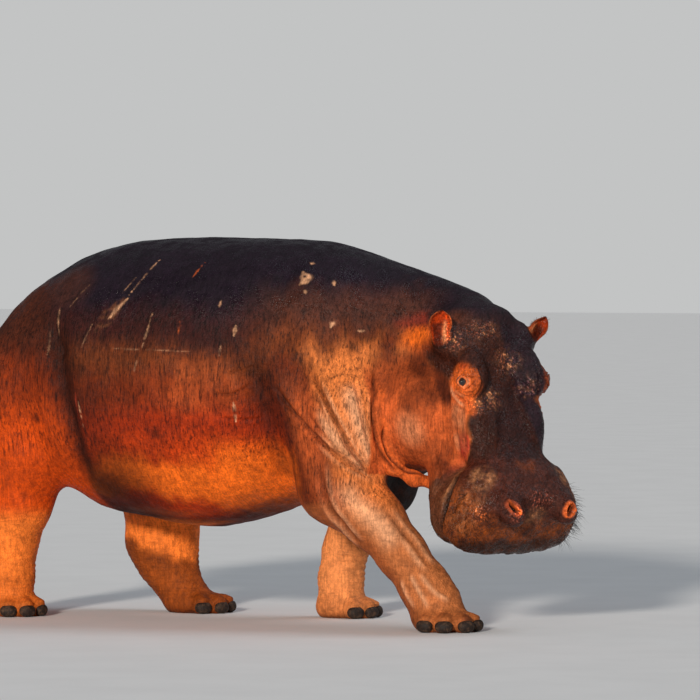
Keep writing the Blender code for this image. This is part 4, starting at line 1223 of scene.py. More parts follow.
def paint_bridge(lay, face):
    """Dark forehead, brows and bridge of the nose, with painted shade and a painted bluish reflection
    on the bridge's far side, and painted highlights flecked where they are wettest.
    """
    u, v, _ = face.side.T
    lay("face", face.top)
    lay("bridge", face.top, ease(0.1, 0.06, v), ease(-0.02, 0.05, u))
    # painted shade and bluish sky reflection on the far, left side of the bridge
    ridge = face.h[:, 1] - np.interp(u, *BRIDGE_EDGE)
    lay("back", face.top * 0.75, ease(-0.01, 0.016, ridge), ease(0.46, 0.36, u))
    # painted highlights: paler wet glints and flecks on brow, bridge and nose
    glints = ease(-0.1, 0.5, grain(face.base, 60, 44) + 0.4 * face.fine)
    highlight_flecks = ease(0.1, 0.6, grain(face.base, 110, 45) + 0.35 * grain(face.base, 45, 46))
    for place, size, share in GLINTS:
        glint = bell(size_of(face.h - place), size)
        face.film[:] = np.maximum(face.film, np.minimum(1.8 * glint, 1))
        lay("lip", glint * glints * share)
        lay("tan", highlight_flecks, np.minimum(0.9 * share * glint, 0.4))


def paint_muzzle(lay, face):
    """Wet dark muzzle, warmer below the nostrils, with tan patches that are partly painted wet
    highlight.
    """
    side, rough, fine = face.side, face.rough, face.fine
    u, v, w = side.T
    nose = ease(0.235, 0.285, u + 0.35 * (v - 0.16) - 0.25 * (w + 0.14) + 0.015 * rough)
    nose = nose * ease(-0.01, 0.01, w - np.interp(u, *FACE_EDGE) + ease(0.26, 0.3, u))
    lay("muzzle", nose)
    warm = nose * ease(-0.085, -0.165, w + 0.03 * rough) * ease(0.3, 0.44, u)
    lay("muzzle_warm", warm, broken(fine, 0.8, 0.6))
    patchy = ease(-0.9, 0.7, grain(face.base, 90, 43) + 0.5 * fine)
    # tan patches, partly painted wet highlight
    for place, radii, share in TAN_PATCHES:
        tan = spot(side + 0.02 * rough[:, None], place, radii) * share
        lay("tan", nose * tan * patchy)
    lay("mud", nose * 0.7, spot(side, (0.3, 0.015, -0.045), (0.1, 0.045, 0.05)))


def paint_mouth(lay, face):
    """The folded band from the eye to the mouth's corner, ending raw and red, then the lower lip and
    chin behind the dark line of the mouth, with painted shade along the mouth line, under the chin and
    muzzle and in the corner's folds."""
    side, rough, fine = face.side, face.rough, face.fine
    u, _, w = side.T
    warm_side = 1 - face.top
    band = stroke(side, [(0.06, 0.185, -0.06), (0.1, 0.185, -0.085), (0.15, 0.182, -0.115),
                         (0.2, 0.178, -0.15)], 0.042)
    lay("cheek_pale", warm_side * band * 0.62, broken(fine, 0.8, 0.9))
    raw = stroke(side, [(0.185, 0.176, -0.12), (0.215, 0.176, -0.15), (0.245, 0.178, -0.185),
                        (0.262, 0.185, -0.205), (0.285, 0.205, -0.235)], 0.038)
    lay("sore", warm_side * raw, broken(fine, 0.8, 0.8))
    bright = stroke(side, [(0.19, 0.172, -0.098), (0.222, 0.172, -0.122),
                           (0.245, 0.174, -0.155)], 0.011)
    lay("red", warm_side * bright * 0.9)
    lips = w - np.interp(u, *MOUTH_EDGE)
    chin = ease(0.004, -0.008, lips) * ease(0.225, 0.285, u)
    lay("lip", chin, broken(fine, 0.9, 0.4))
    # painted shade under the chin and along the line of the mouth
    lay("armpit", chin, ease(-0.35, -0.39, w) * 0.7)
    lay("black", ease(0.225, 0.26, u) * 0.8, bell(lips, 0.01))
    lay("tan", ease(0.26, 0.3, u) * 0.5, bell(lips + 0.02, 0.009), ease(0.42, 0.36, u))
    # painted shade along the underside of the muzzle, and in the folds at the mouth's corner
    lay("armpit", 0.8, ease(0.3, 0.4, u), ease(0.372, 0.322, face.base[:, 2] + 0.008 * rough))
    corner = spot(side + 0.015 * fine[:, None], (0.235, 0.225, -0.245), (0.085, 0.06, 0.06))
    lay("crease", 0.75 * corner, broken(fine, 0.8, 0.9))


def paint_eyes(lay, face, marks):
    """Warm mounds above and in front of the eye, and the crescents of the lower lid, with painted
    shade on the mounds and in the creases, painted highlight on the lid folds, and the left eye's warm
    patch mostly left out as painted shade.
    """
    side, rough, fine = face.side, face.rough, face.fine
    v = side[:, 1]
    mound = size_of(side - (0.014, 0.178, -0.013)) / 0.081
    below = stroke(side, [(-0.02, 0.195, -0.06), (0.035, 0.19, -0.06), (0.085, 0.18, -0.04),
                          (0.115, 0.175, -0.025)], 0.036)
    patch = np.maximum(ease(1.1, 0.72, mound + 0.14 * fine + 0.08 * rough), 0.85 * below)
    # the left eye's warm patch mostly left out, as painted shade on the side turned from the light
    inner = ease(0.118, 0.142, v) * np.where(face.left, 0.3 * ease(0.15, 0.175, v), 1.0)
    lay("pink", 0.88 * patch * inner, 0.9 + 0.2 * fine)
    # painted shade on the top and front of the mound
    for place, radii in (((-0.045, 0.18, 0.03), (0.035, 0.06, 0.032)),
                         ((0.07, 0.15, 0.055), (0.03, 0.05, 0.03))):
        lay("warm_flank", 0.55 * inner, spot(side, place, radii), ease(0.15, 0.65, patch))
    # lid folds: painted highlight on raised lines, painted shade in creases
    for width, name, share, points in LID_FOLDS:
        lay(name, share * inner, stroke(side, points, width), broken(fine, 0.85, 0.5))
    # painted shade in the upper lid's crease
    lay("crease", 0.4 * marks["crease"])


def paint_nostrils(lay, face, marks):
    """Soft warm rims round slits painted black as shade; the right side is painted duller, as it turns
    from the light.
    """
    # the right side painted duller, as painted shade
    lit = np.where(face.left, 1.0, 0.45)
    lay("nostril", marks["nostril_rim"] * 0.85)
    lay("pink", marks["nostril_rim"] * 0.6, face.left)
    lay("pink", marks["nostril_wall"] * lit)
    lay("black", marks["nostril"])


def paint_ears(lay, face, marks):
    """Dark ears with a warm inner face, a pale ridge and rim, painted shade inside, in the hollow and
    round the root, and the left ear painted dimmer as shade.
    """
    # the left ear painted dimmer, as painted shade
    dim = np.where(face.left, 0.6, 1.0)
    lay("face", marks["ear"] * 0.95)
    lay("low_flank", marks["ear_inside"] * 0.92 * dim)
    # painted shade inside the ear and in its hollow
    lay("valley", marks["ear_inside"] * 0.75 * dim, ease(0.2, 0.9, grain(face.base, 45, 47)))
    lay("armpit", marks["ear_hollow"] * 0.8)
    lay("tan", marks["ear_ridge"] * 0.75 * dim)
    lay("cheek", marks["ear_rim"] * 0.7 * dim)
    # painted shade round the ear's root
    lay("armpit", marks["ear_root"] * 0.8)


def paint_head(lay, base, marks):
    """Dark face and muzzle, orange cheeks, warm skin round the eye and down to the mouth."""
    h = to_head(base)
    rough, fine = grain(base, 9, 41), grain(base, 32, 42)
    marks["film"] = np.zeros(len(h))
    face = SimpleNamespace(
        base=base, h=h, side=both_sides(h), left=h[:, 1] > 0, rough=rough, fine=fine,
        top=face_top(h, 0.01 * rough + 0.006 * fine), film=marks["film"])
    on_head = partial(lay_within, lay, marks["head"])
    paint_cheeks(on_head, face)
    paint_bridge(on_head, face)
    paint_muzzle(on_head, face)
    paint_mouth(on_head, face)
    paint_eyes(on_head, face, marks)
    lay("pale", 0.4 * marks["lid"])
    # painted shade in the socket behind the eyeball
    lay("black", marks["socket"])
    paint_nostrils(lay, face, marks)
    paint_ears(lay, face, marks)


def paint_skin(base, marks):
    """Colours of the hide, laid in washes: trunk, limbs, head, tail, then painted shade in furrows and
    painted highlight on ridges.
    """
    off_head = 1 - marks["head"]
    paint = paint_trunk(base)
    lay = paint.lay
    paint_limbs(lay, base, marks)
    # painted highlight on ridges and the lips of folds, painted shade down the furrows
    lay("pale", 0.7 * marks["ridge"] * off_head, ease(0.8, 0.87, base[:, 0]),
        ease(1.0, 0.92, base[:, 2]))
    lay("armpit", marks["furrow_shade"] * 0.58 * off_head)
    # painted light on the right of the neck: bright patches on the shoulder's folds and below the ear,
    # and painted shade between them
    lay("shoulder", 0.5 * spot(base, (0.9, -0.42, 0.6), (0.055, 0.12, 0.12)))
    lay("belly", 0.9 * spot(base, (1.12, -0.23, 1.095), (0.085, 0.12, 0.062)))
    lay("valley", 0.6 * spot(base, (1.07, -0.25, 1.01), (0.07, 0.12, 0.045)))
    paint_head(lay, base, marks)
    lay("rump", marks["tail"] * 0.7)
    # painted shade down the head's furrows
    lay("black", marks["furrow_shade"] * 0.72 * marks["head"])
    lay("pink", marks["roll"] * 0.75)
    return paint.hide


def skin_masks(base, marks):
    """Where the hide is wet, speckled with dark streaks, ringed, pebbled and under water."""
    h = to_head(base)
    x, _, z = base.T
    on_head = marks["head"]
    nose = ease(0.2, 0.32, h[:, 0])
    top = face_top(h)
    face = on_head * np.maximum(nose, top)
    wet = np.maximum.reduce([face, 0.8 * ease(1.05, 1.25, z), marks["nostril"], 0.35 * (1 - on_head)])
    cheek = on_head * (1 - nose) * (1 - top)
    trunk = (1 - on_head) * (1 - marks["low"]) * ease(1.36, 1.15, z)
    trunk = trunk * (1 - 0.62 * ease(0.7, 0.56, z) * ease(0.8, 0.66, x))
    return {"Wet": wet, "Speckle": np.clip(0.5 * cheek + 0.85 * trunk, 0, 1),
            "Limb": marks["low"], "Film": on_head * marks["film"], "Face": face}


# ---------- Blender helpers
def make_piece(name, points, faces, material):
    """A smooth mesh piece, moved from body stations to the frame and riding on the root."""
    points = np.asarray(points - (LOINS_TO_ORIGIN, 0, 0), np.float32)
    mesh = bpy.data.meshes.new(name)
    mesh.vertices.add(len(points))
    mesh.vertices.foreach_set("co", points.ravel())
    mesh.loops.add(faces.size)
    mesh.loops.foreach_set("vertex_index", faces.astype(np.int32).ravel())
    mesh.polygons.add(len(faces))
    starts = np.arange(len(faces), dtype=np.int32) * faces.shape[1]
    mesh.polygons.foreach_set("loop_start", starts)
    mesh.update(calc_edges=True)
    mesh.shade_smooth()
    mesh.materials.append(material)
    piece = bpy.data.objects.new(name, mesh)
    bpy.context.scene.collection.objects.link(piece)
    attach(piece, "root")
    return piece


def add_colours(piece, name, colours):
    """Stores a colour for each point of the piece."""
    table = piece.data.attributes.new(name, "FLOAT_COLOR", "POINT")
    full = np.concatenate([colours, np.ones((len(colours), 1))], 1)
    table.data.foreach_set("color", full.astype(np.float32).ravel())


def add_values(piece, name, values):
    """Stores a number for each point of the piece."""
    table = piece.data.attributes.new(name, "FLOAT", "POINT")
    table.data.foreach_set("value", np.asarray(values, np.float32).ravel())


class Finish:
    """A material and the nodes that feed its one shader."""

    def __init__(self, name, **sockets):
        self.material = bpy.data.materials.new(name)
        self.material.use_nodes = True
        self.tree = self.material.node_tree
        self.shader = self.tree.nodes["Principled BSDF"]
        for socket, value in sockets.items():
            self.shader.inputs[socket.replace("_", " ")].default_value = value
        self.place = self.add("ShaderNodeTexCoord").outputs["Object"]

    def add(self, kind, inputs=None, **settings):
        """A new node, with its inputs joined or set and its settings made."""
        made = self.tree.nodes.new(kind)
        for key, value in settings.items():
            setattr(made, key, value)
        for socket, value in (inputs or {}).items():
            self.join(value, made.inputs[socket])
        return made

    def join(self, value, socket):
        """Links another node's output to a socket, or sets a plain value on it."""
        if isinstance(value, bpy.types.NodeSocket):
            self.tree.links.new(value, socket)
        else:
            socket.default_value = value

    def work(self, operation, a, b):
        """One sum on two numbers."""
        return self.add("ShaderNodeMath", {0: a, 1: b}, operation=operation).outputs[0]

    def total(self, *terms):
        """The sum of several numbers."""
        return reduce(partial(self.work, "ADD"), terms)

    def times(self, *terms):
        """The product of several numbers."""
        return reduce(partial(self.work, "MULTIPLY"), terms)

    def vector(self, operation, a, b):
        """One sum on two vectors."""
        return self.add("ShaderNodeVectorMath", {0: a, 1: b}, operation=operation).outputs[0]

    def mask(self, name):
        """A number stored at the piece's points."""
        return self.add("ShaderNodeAttribute", attribute_name=name).outputs["Fac"]

    def paint(self, name):
        """A colour stored at the piece's points."""
        return self.add("ShaderNodeAttribute", attribute_name=name).outputs["Color"]

    def noise(self, scale, detail=4.0, roughness=0.55, stretch=None, distortion=0.0):
        """Smooth noise from 0 to 1; stretch multiplies the coordinates first."""
        place = self.vector("MULTIPLY", self.place, stretch) if stretch else self.place
        made = self.add("ShaderNodeTexNoise", {"Vector": place, "Scale": scale, "Detail": detail,
                                               "Roughness": roughness, "Distortion": distortion})
        return made.outputs["Fac"]

    def span(self, value, low, high, start=0.0, end=1.0):
        """Maps low..high smoothly to start..end."""
        made = self.add("ShaderNodeMapRange", {"Value": value, "From Min": low, "From Max": high,
                                               "To Min": start, "To Max": end},
                        interpolation_type="SMOOTHSTEP")
        return made.outputs["Result"]

    def cells(self, scale, stretch=(1, 1, 1), wobble=0.012):
        """Distance to the edge of small cells whose borders wander."""
        shift = self.add("ShaderNodeTexNoise", {"Vector": self.place, "Scale": scale * 0.35})
        moved = self.vector("MULTIPLY", shift.outputs["Color"], (wobble,) * 3)
        place = self.vector("MULTIPLY", self.vector("ADD", self.place, moved), stretch)
        return self.add("ShaderNodeTexVoronoi", {"Vector": place, "Scale": scale},
                        feature="DISTANCE_TO_EDGE").outputs["Distance"]

    def shaded(self, colour, share):
        """The colour made brighter or darker by a number."""
        return self.add("ShaderNodeVectorMath", {0: colour, "Scale": share},
                        operation="SCALE").outputs[0]

    def finish(self, colour=None, roughness=None, height=None, film=None):
        """Joins colour, roughness, height in metres and film of water to the shader."""
        if colour is not None:
            self.join(colour, self.shader.inputs["Base Color"])
        if roughness is not None:
            self.join(roughness, self.shader.inputs["Roughness"])
        if height is not None:
            bump = self.add("ShaderNodeBump", {"Height": height, "Strength": 1.0, "Distance": 1.0})
            self.join(bump.outputs["Normal"], self.shader.inputs["Normal"])
            if film is not None:
                self.join(film, self.shader.inputs["Coat Weight"])
                self.join(bump.outputs["Normal"], self.shader.inputs["Coat Normal"])
        return self.material


def hide_finish():
    """Living hide: painted colour broken by blotches, streaks and cracks, wet in places, with painted
    highlight flecks where it is wettest.
    """
    f = Finish("hippo_hide", IOR=1.45, Specular_IOR_Level=0.18, Coat_Roughness=0.14, Coat_IOR=1.4)
    paint = f.paint("Hide")
    wet, speckle, limb, face, film = (f.mask(name) for name in ("Wet", "Speckle", "Limb", "Face",
                                                                "Film"))
    blotch = f.noise(6.0, 5.0, 0.62)
    mottle = f.noise(40.0, 6.0, 0.68)
    streak = f.noise(1.0, 4.0, 0.62, (150, 130, 26))
    long_streak = f.noise(1.0, 5.0, 0.6, (70, 64, 8))
    lines = f.noise(1.0, 5.0, 0.58, (150, 26, 18), 0.4)
    creases = f.noise(1.0, 4.0, 0.6, (16, 16, 110), 0.5)
    cracks = f.cells(95.0, (1.0, 1.0, 0.75))
    grit = f.noise(420.0, 3.0, 0.6)
    # colour, with painted highlight flecks where the skin is wettest
    highlight_fleck = f.times(film, f.span(f.noise(115.0, 3.0, 0.65), 0.53, 0.62))
    spots = f.span(f.noise(85.0, 5.0, 0.65), 0.38, 0.64, -0.28, 0.4)
    dark = f.times(f.span(streak, 0.52, 0.63, 0.0, 0.72), speckle)
    dim = f.times(f.span(long_streak, 0.48, 0.64, 0.0, 0.45), speckle)
    ring = f.times(f.span(creases, 0.52, 0.66, 0.0, 0.14), f.total(0.35, limb))
    shade = f.times(f.span(blotch, 0.28, 0.72, 0.82, 1.2),
                    f.span(mottle, 0.25, 0.75, 0.7, 1.3),
                    f.work("SUBTRACT", 1.0, dark), f.work("SUBTRACT", 1.0, dim),
                    f.work("SUBTRACT", 1.0, ring), f.span(lines, 0.34, 0.6, 0.78, 1.08),
                    f.span(cracks, 0.0, 0.1, 0.86, 1.0), f.total(1.0, f.times(spots, face)),
                    f.total(1.0, f.times(highlight_fleck, 4.5)))
    colour = f.shaded(paint, shade)
    # gloss
    pool = f.span(f.noise(15.0, 5.0, 0.62), 0.4, 0.58)
    damp = f.times(wet, f.total(f.times(pool, 0.6), 0.4))
    dull = f.span(damp, 0.0, 1.0, 0.74, 0.16)
    dull = f.total(dull, f.times(f.work("SUBTRACT", mottle, 0.5), 0.3))
    # height, in metres
    skin_bumps = f.times(f.noise(120.0, 3.0, 0.55), f.total(0.25, face), 0.003)
    height = f.total(f.times(f.noise(22.0, 5.0, 0.62), 0.006),
                     f.times(lines, 0.0024),
                     f.times(creases, f.total(0.3, limb), 0.0018),
                     f.times(streak, f.total(0.0006, f.times(speckle, 0.0014))),
                     f.times(f.span(cracks, 0.0, 0.2), 0.0008),
                     skin_bumps,
                     f.times(grit, 0.0005))
    water = f.times(film, f.span(f.noise(60.0, 4.0, 0.6), 0.45, 0.55, 0.0, 0.35))
    return f.finish(colour, dull, height, water)


def eye_finish():
    """Wet dark eye under a clear coat."""
    f = Finish("wet_eye", Coat_Weight=1.0, Coat_Roughness=0.03, IOR=1.38)
    fibres = f.noise(900.0, 3.0, 0.6)
    colour = f.shaded(f.paint("Tint"), f.span(fibres, 0.3, 0.7, 0.75, 1.2))
    return f.finish(colour, f.span(fibres, 0.2, 0.8, 0.08, 0.16), f.times(fibres, 0.00005))


def horn_finish():
    """Worn black horn with upright growth lines and dusty edges."""
    f = Finish("toenail_horn", IOR=1.5, Specular_IOR_Level=0.25)
    growth = f.noise(1.0, 4.0, 0.6, (190, 190, 30))
    scuff = f.noise(60.0, 5.0, 0.7)
    tone_of = f.add("ShaderNodeValToRGB", {"Fac": scuff})
    tone_of.color_ramp.elements[0].position = 0.46
    tone_of.color_ramp.elements[0].color = (*tone(38, 27, 22), 1)
    tone_of.color_ramp.elements[1].position = 0.74
    tone_of.color_ramp.elements[1].color = (*tone(98, 72, 54), 1)
    colour = f.shaded(tone_of.outputs["Color"], f.span(growth, 0.3, 0.7, 0.65, 1.15))
    height = f.total(f.times(growth, 0.0012), f.times(scuff, 0.0006))
    return f.finish(colour, f.span(scuff, 0.35, 0.7, 0.62, 0.85), height)


def bristle_finish():
    """Stiff dark hair, a little paler towards its tips."""
    f = Finish("bristles", IOR=1.55)
    kink = f.noise(700.0, 2.0, 0.5)
    colour = f.shaded(f.paint("Tint"), f.span(kink, 0.3, 0.7, 0.8, 1.2))
    return f.finish(colour, f.span(kink, 0.3, 0.7, 0.38, 0.5), f.times(kink, 0.00008))


# ---------- eyes, nails and bristles
def ball(rows, columns):
    """Directions over a sphere as a closed grid: row angle from the pole, column angle round."""
    a = np.linspace(0, np.pi, rows)[1:-1, None]
    b = np.linspace(0, 2 * np.pi, columns, endpoint=False)[None]
    ring = np.stack([np.cos(a) + 0 * b, np.sin(a) * np.cos(b), np.sin(a) * np.sin(b)], -1)
    points = np.concatenate([[[1, 0, 0]], ring.reshape(-1, 3), [[-1, 0, 0]]])
    i = np.arange(rows - 3)[:, None] * columns + 1
    j = np.arange(columns)[None]
    k = (j + 1) % columns
    one, two, three, four = (i + j, i + k, i + columns + k, i + columns + j)
    grid = np.stack([np.stack([one, four, three], -1), np.stack([one, three, two], -1)])
    j = np.arange(columns)
    k = (j + 1) % columns
    last = len(points) - 1 - columns
    caps = [np.stack([0 * j, j + 1, k + 1], 1), np.stack([0 * j + len(points) - 1, last + k,
                                                          last + j], 1)]
    return points, np.concatenate([grid.reshape(-1, 3)] + caps)


def eye_pair():
    """Two balls with a clear bulge in front, dark iris and a level oval pupil."""
    form, faces = ball(49, 64)
    points, tints, joined = [], [], []
    angle = np.arccos(np.clip(form[:, 0], -1, 1))
    for hand in (1, -1):
        gaze, lids, over = eye_axes(hand)
        local = form * (1 + 0.06 * bell(angle, 0.42))[:, None] * EYE_RADIUS
        place = side_of(EYE_AT, hand) + local @ np.array([gaze, lids, over * hand])
        pupil = np.hypot(form[:, 1] / 0.3, form[:, 2] / 0.2)
        white = tone(150, 96, 80) * (0.8 + 0.2 * grain(local, 300, 5))[:, None]
        tint = wash(white, tone(74, 42, 24), ease(0.86, 0.78, angle))
        tint = wash(tint, tone(24, 14, 12), bell(angle - 0.8, 0.07))
        tint = wash(tint, tone(30, 17, 12), ease(0.75, 0.35, angle) * 0.8)
        tint = wash(tint, tone(5, 4, 5), ease(1.15, 0.95, pupil))
        joined.append(faces + len(form) * len(points))
        points.append(place)
        tints.append(tint)
    return np.concatenate(points), np.concatenate(joined), np.concatenate(tints)


def nail_set():
    """Sixteen blunt domed nails: squared eggs, flat on the ground, with a worn front edge."""
    form, faces = ball(25, 32)
    points, joined = [], []
    for foot in FEET:
        for centre, axes in nail_places(foot):
            q = np.sign(form) * np.abs(form) ** 0.86
            q = q / np.linalg.norm(q, axis=1, keepdims=True) ** 0.6
            local = q * np.array(NAIL_RADII)
            local[:, 0] -= 0.05 * np.minimum(local[:, 2], 0)
            p = centre + local @ axes
            p += 0.0006 * grain(p, 120, len(points))[:, None] * form @ axes
            p[:, 2] = np.maximum(p[:, 2], 0.0008)
            joined.append(faces + len(form) * len(points))
            points.append(p)
    return np.concatenate(points), np.concatenate(joined)


def hairs(roots, ways, droops, lengths, thick, steps=4):
    """Bristles: each follows root + way s + droop s^2, swept by a triangle that narrows to its
    tip. Returns points, faces and how far up its bristle each point is."""
    s = np.linspace(0, 1, steps + 1)
    count = len(roots)
    path = (ways[:, None] * s[:, None] + droops[:, None] * s[:, None] ** 2)
    path = roots[:, None] + path * lengths[:, None, None]
    first = unit(np.cross(ways, np.roll(ways, 1, axis=1) + 0.3))
    second = np.cross(ways, first)
    angle = np.arange(3) * 2 * np.pi / 3
    ring = (first[:, None] * np.cos(angle)[:, None] + second[:, None] * np.sin(angle)[:, None])
    wide = thick[:, None, None, None] * (1 - 0.9 * s)[:, None, None]
    points = (path[:, :, None] + ring[:, None] * wide).reshape(-1, 3)
    i = np.arange(steps)[:, None] * 3
    j = np.arange(3)[None]
    k = (j + 1) % 3
    side = np.concatenate([np.stack([i + j, i + k, i + 3 + k], -1).reshape(-1, 3),
                           np.stack([i + j, i + 3 + k, i + 3 + j], -1).reshape(-1, 3),
                           [[2, 1, 0]], [[3 * steps, 3 * steps + 1, 3 * steps + 2]]])
    faces = (side[None] + (np.arange(count) * 3 * (steps + 1))[:, None, None]).reshape(-1, 3)
    return points, faces, np.tile(np.repeat(s, 3), count)


PATCH_SIDE = 0.003    # of each bristle's patch on its bake map


def unwrap(p):
    """The skin laid flat: how far along the body, and the angle round its middle line."""
    around = np.arctan2(p[:, 1], p[:, 2] - 0.85) / (2 * np.pi) + 0.5
    return np.stack([(p[:, 0] + 1.1) / 3.1, around], 1)


def bristle_sets(skin_points, skin_normals, base):
    """Whiskers round the lips and nostrils, ear fringes, tail tassel and short chin hair."""
    settings = bpy.context.scene.hippo_bristles
    rng = np.random.default_rng(7)
    h = to_head(base)
    u, v, w = h[:, 0], np.abs(h[:, 1]), h[:, 2]
    down = np.array([0, 0, -1.0])
    ahead = HEAD_AXES[0]
    sets = []

    def grow(chosen, number, length, spread, lean, droop, thick, colour):
        picked = np.flatnonzero(chosen)
        picked = picked[rng.permutation(len(picked))[:number]]
        n = len(picked)
        ways = unit(skin_normals[picked] + lean + spread * rng.normal(size=(n, 3)))
        lengths = length * rng.uniform(0.45, 1.15, n)
        droops = droop * down + 0.18 * rng.normal(size=(n, 3))
        roots = skin_points[picked] - 0.002 * ways
        sets.append((roots, ways, droops, lengths, np.full(n, thick), base[picked],
                     np.tile(colour, (n, 1))))

    on_nose = (base[:, 0] > 1.0) & (w > -0.4) & (v < 0.36)
    lip = on_nose & (u > 0.4) & (w < -0.08) & (w > -0.27) & (np.abs(v - 0.13) > 0.02)
    black = tone(16, 12, 12)
    grow(lip & (v > 0.19), int(settings.whiskers * 0.55), settings.whisker_length, 0.3,
         0.25 * ahead, 0.3, 0.00085, black)
    grow(lip & (v <= 0.19), int(settings.whiskers * 0.25), 0.7 * settings.whisker_length, 0.3,
         0.1 * ahead, 0.35, 0.0006, black)
    chin = on_nose & (u > 0.3) & (w < -0.28) & (v > 0.2) & (u < 0.46)
    grow(chin, int(settings.whiskers * 0.05), 0.5 * settings.whisker_length, 0.3, 0.1 * ahead,
         0.4, 0.0006, black)
    for hand in (1, -1):
        up, across, front, root, length = ear_axes(hand)
        d = skin_points - root
        t = d @ up / length
        edge = np.abs(d @ across) / EAR_HALF_WIDTH
        fringe = (t > 0.25) & (t < 1.05) & (edge < 1.3) & (np.abs(d @ front) < 0.05)
        outline = fringe & ((edge > 0.62) | (t > 0.85))
        grow(outline, settings.ear_hairs, 0.014, 0.25, 0.5 * up, 0.1, 0.00045, tone(70, 34, 22))
    tail = (skin_points[:, 0] < -0.86) & (np.abs(skin_points[:, 1]) < 0.06) & (
        skin_points[:, 2] < 0.78)
    grow(tail, settings.tail_hairs, 0.045, 0.2, 0.9 * down, 0.5, 0.00075, black)
    brow = (base[:, 0] > 1.0) & (u > -0.16) & (u < 0.3) & (w > -0.2) & (v < 0.2)
    grow(brow, settings.short_hairs, 0.009, 0.4, 0.2 * ahead, 0.1, 0.00035, tone(60, 40, 32))
    return [np.concatenate(column) for column in zip(*sets)]


# ---------- the pieces' settings
HIDE_COLOURS = {
    # dark purple hide with a painted bluish sky reflection; also painted shade on the bridge's far
    # side
    "back": ("Wet hide along the back and over the neck", (30, 20, 30)),
    "high_flank": ("Hide just below the back", (57, 22, 18)),
    "upper_flank": ("Hide between back and flank", (111, 51, 20)),
    "flank": ("Hide of the middle flank", (124, 44, 10)),
    # also painted shade on the eye's mound
    "warm_flank": ("Hide between flank and belly", (158, 46, 6)),
    "low_flank": ("Bright hide above the belly", (184, 58, 7)),
    # also a painted highlight on the right of the neck below the ear
    "belly": ("Brightest hide, low on the side", (252, 114, 28)),
    # where the belly turns under: partly the hide's colour, partly painted shade
    "under": ("Hide turning under the belly", (176, 50, 5)),
    # painted shade for hollows, the breast, the ground line, cheeks and ears; also a few dark spots
    "valley": ("Hide in the wide hollows", (60, 17, 3)),
    # painted shade for the groin, breast, undersides, furrows and the ears' hollows and roots
    "armpit": ("Hide of armpits, breast and furrows", (28, 11, 5)),
    # also painted shade in the fold between neck and shoulder blade
    "fore_flank": ("Hide round the shoulder blade", (106, 40, 12)),
    # also a painted highlight on the right shoulder's folds
    "shoulder": ("Pale hide of shoulder and neck", (232, 128, 62)),
    "thigh": ("Hide of haunch and thigh", (204, 72, 7)),
    "hip": ("Hide high on the haunch", (134, 46, 6)),
    "rump": ("Hide over the tail", (78, 34, 18)),
    "foreleg": ("Front of the right foreleg", (184, 106, 58)),
    "pale_leg": ("Dry pale skin of the left foreleg", (228, 138, 78)),
    "hindleg": ("Hide of the hind legs", (250, 128, 48)),
    "mud": ("Drying mud above the soles", (128, 58, 14)),
    "face": ("Wet hide of forehead and brows", (54, 24, 15)),
    "bridge": ("Hide along the bridge of the nose", (46, 19, 14)),
    "muzzle": ("Wet hide of the muzzle", (68, 32, 23)),
    "muzzle_warm": ("Mottled hide under the nostrils", (132, 62, 20)),
    # also painted wet highlights on brow, bridge and nose
    "lip": ("Hide of lower lip and chin", (100, 58, 38)),
    "cheek": ("Hide of the cheek", (200, 92, 42)),
    "cheek_pale": ("Pale folded skin below the eye", (204, 134, 92)),
    "sore": ("Raw skin at the mouth's corner", (158, 50, 32)),
    "pink": ("Warm skin round eyes and ears", (236, 108, 44)),
    "red": ("Wet red skin at the mouth's corner", (214, 76, 52)),
    "nostril": ("Soft rim of the nostrils", (156, 68, 38)),
    # pale scars, and also painted highlight on ridges, sinews and lid folds
    "pale": ("Pale scars and ridges", (240, 178, 134)),
    # painted shade in the creases of the lids and at the mouth's corner
    "crease": ("Lines round the eyelids", (84, 30, 12)),
    "neck_top": ("Brown hide high on the neck", (78, 42, 32)),
    "shin": ("Rear of the right foreleg", (150, 74, 34)),
    # tan mottling, partly painted wet highlight on the muzzle, brow and bridge
    "tan": ("Pale mottling of the upper lip", (190, 126, 82)),
    # painted shade in the mouth line, eye sockets, nostrils and the head's furrows
    "black": ("Mouth line, sockets, nostrils", (16, 7, 5)),
}


class HippoHide(bpy.types.PropertyGroup):
    """Colours of the hide, by place."""
    __annotations__ = {
        name: bpy.props.FloatVectorProperty(
            name=name.replace("_", " ").capitalize(), description=use, subtype="COLOR", size=3,
            default=tuple(tone(*screen).tolist()), min=0.0, max=1.0)
        for name, (use, screen) in HIDE_COLOURS.items()}


class HippoForm(bpy.types.PropertyGroup):
    """Relief of the skin."""
    folds: bpy.props.FloatProperty(
        name="Folds", description="Depth of folds and creases, as a share of the modelled depth",
        default=1.0, min=0.0, max=1.5, subtype="FACTOR")


class HippoBristles(bpy.types.PropertyGroup):
    """Hair of the muzzle, ears and tail."""
    whiskers: bpy.props.IntProperty(
        name="Whiskers", description="Number of whiskers", default=520, min=0, max=2000)
    whisker_length: bpy.props.FloatProperty(
        name="Whisker length", description="Length of the longest whiskers",
        default=0.042, min=0.005, max=0.12, unit="LENGTH")
    ear_hairs: bpy.props.IntProperty(
        name="Ear fringe", description="Hairs on each ear's edge", default=130, min=0, max=1000)
    tail_hairs: bpy.props.IntProperty(
        name="Tail tassel", description="Bristles on the tail", default=260, min=0, max=1000)
    short_hairs: bpy.props.IntProperty(
        name="Face hair", description="Short hairs on the face", default=500, min=0, max=4000)


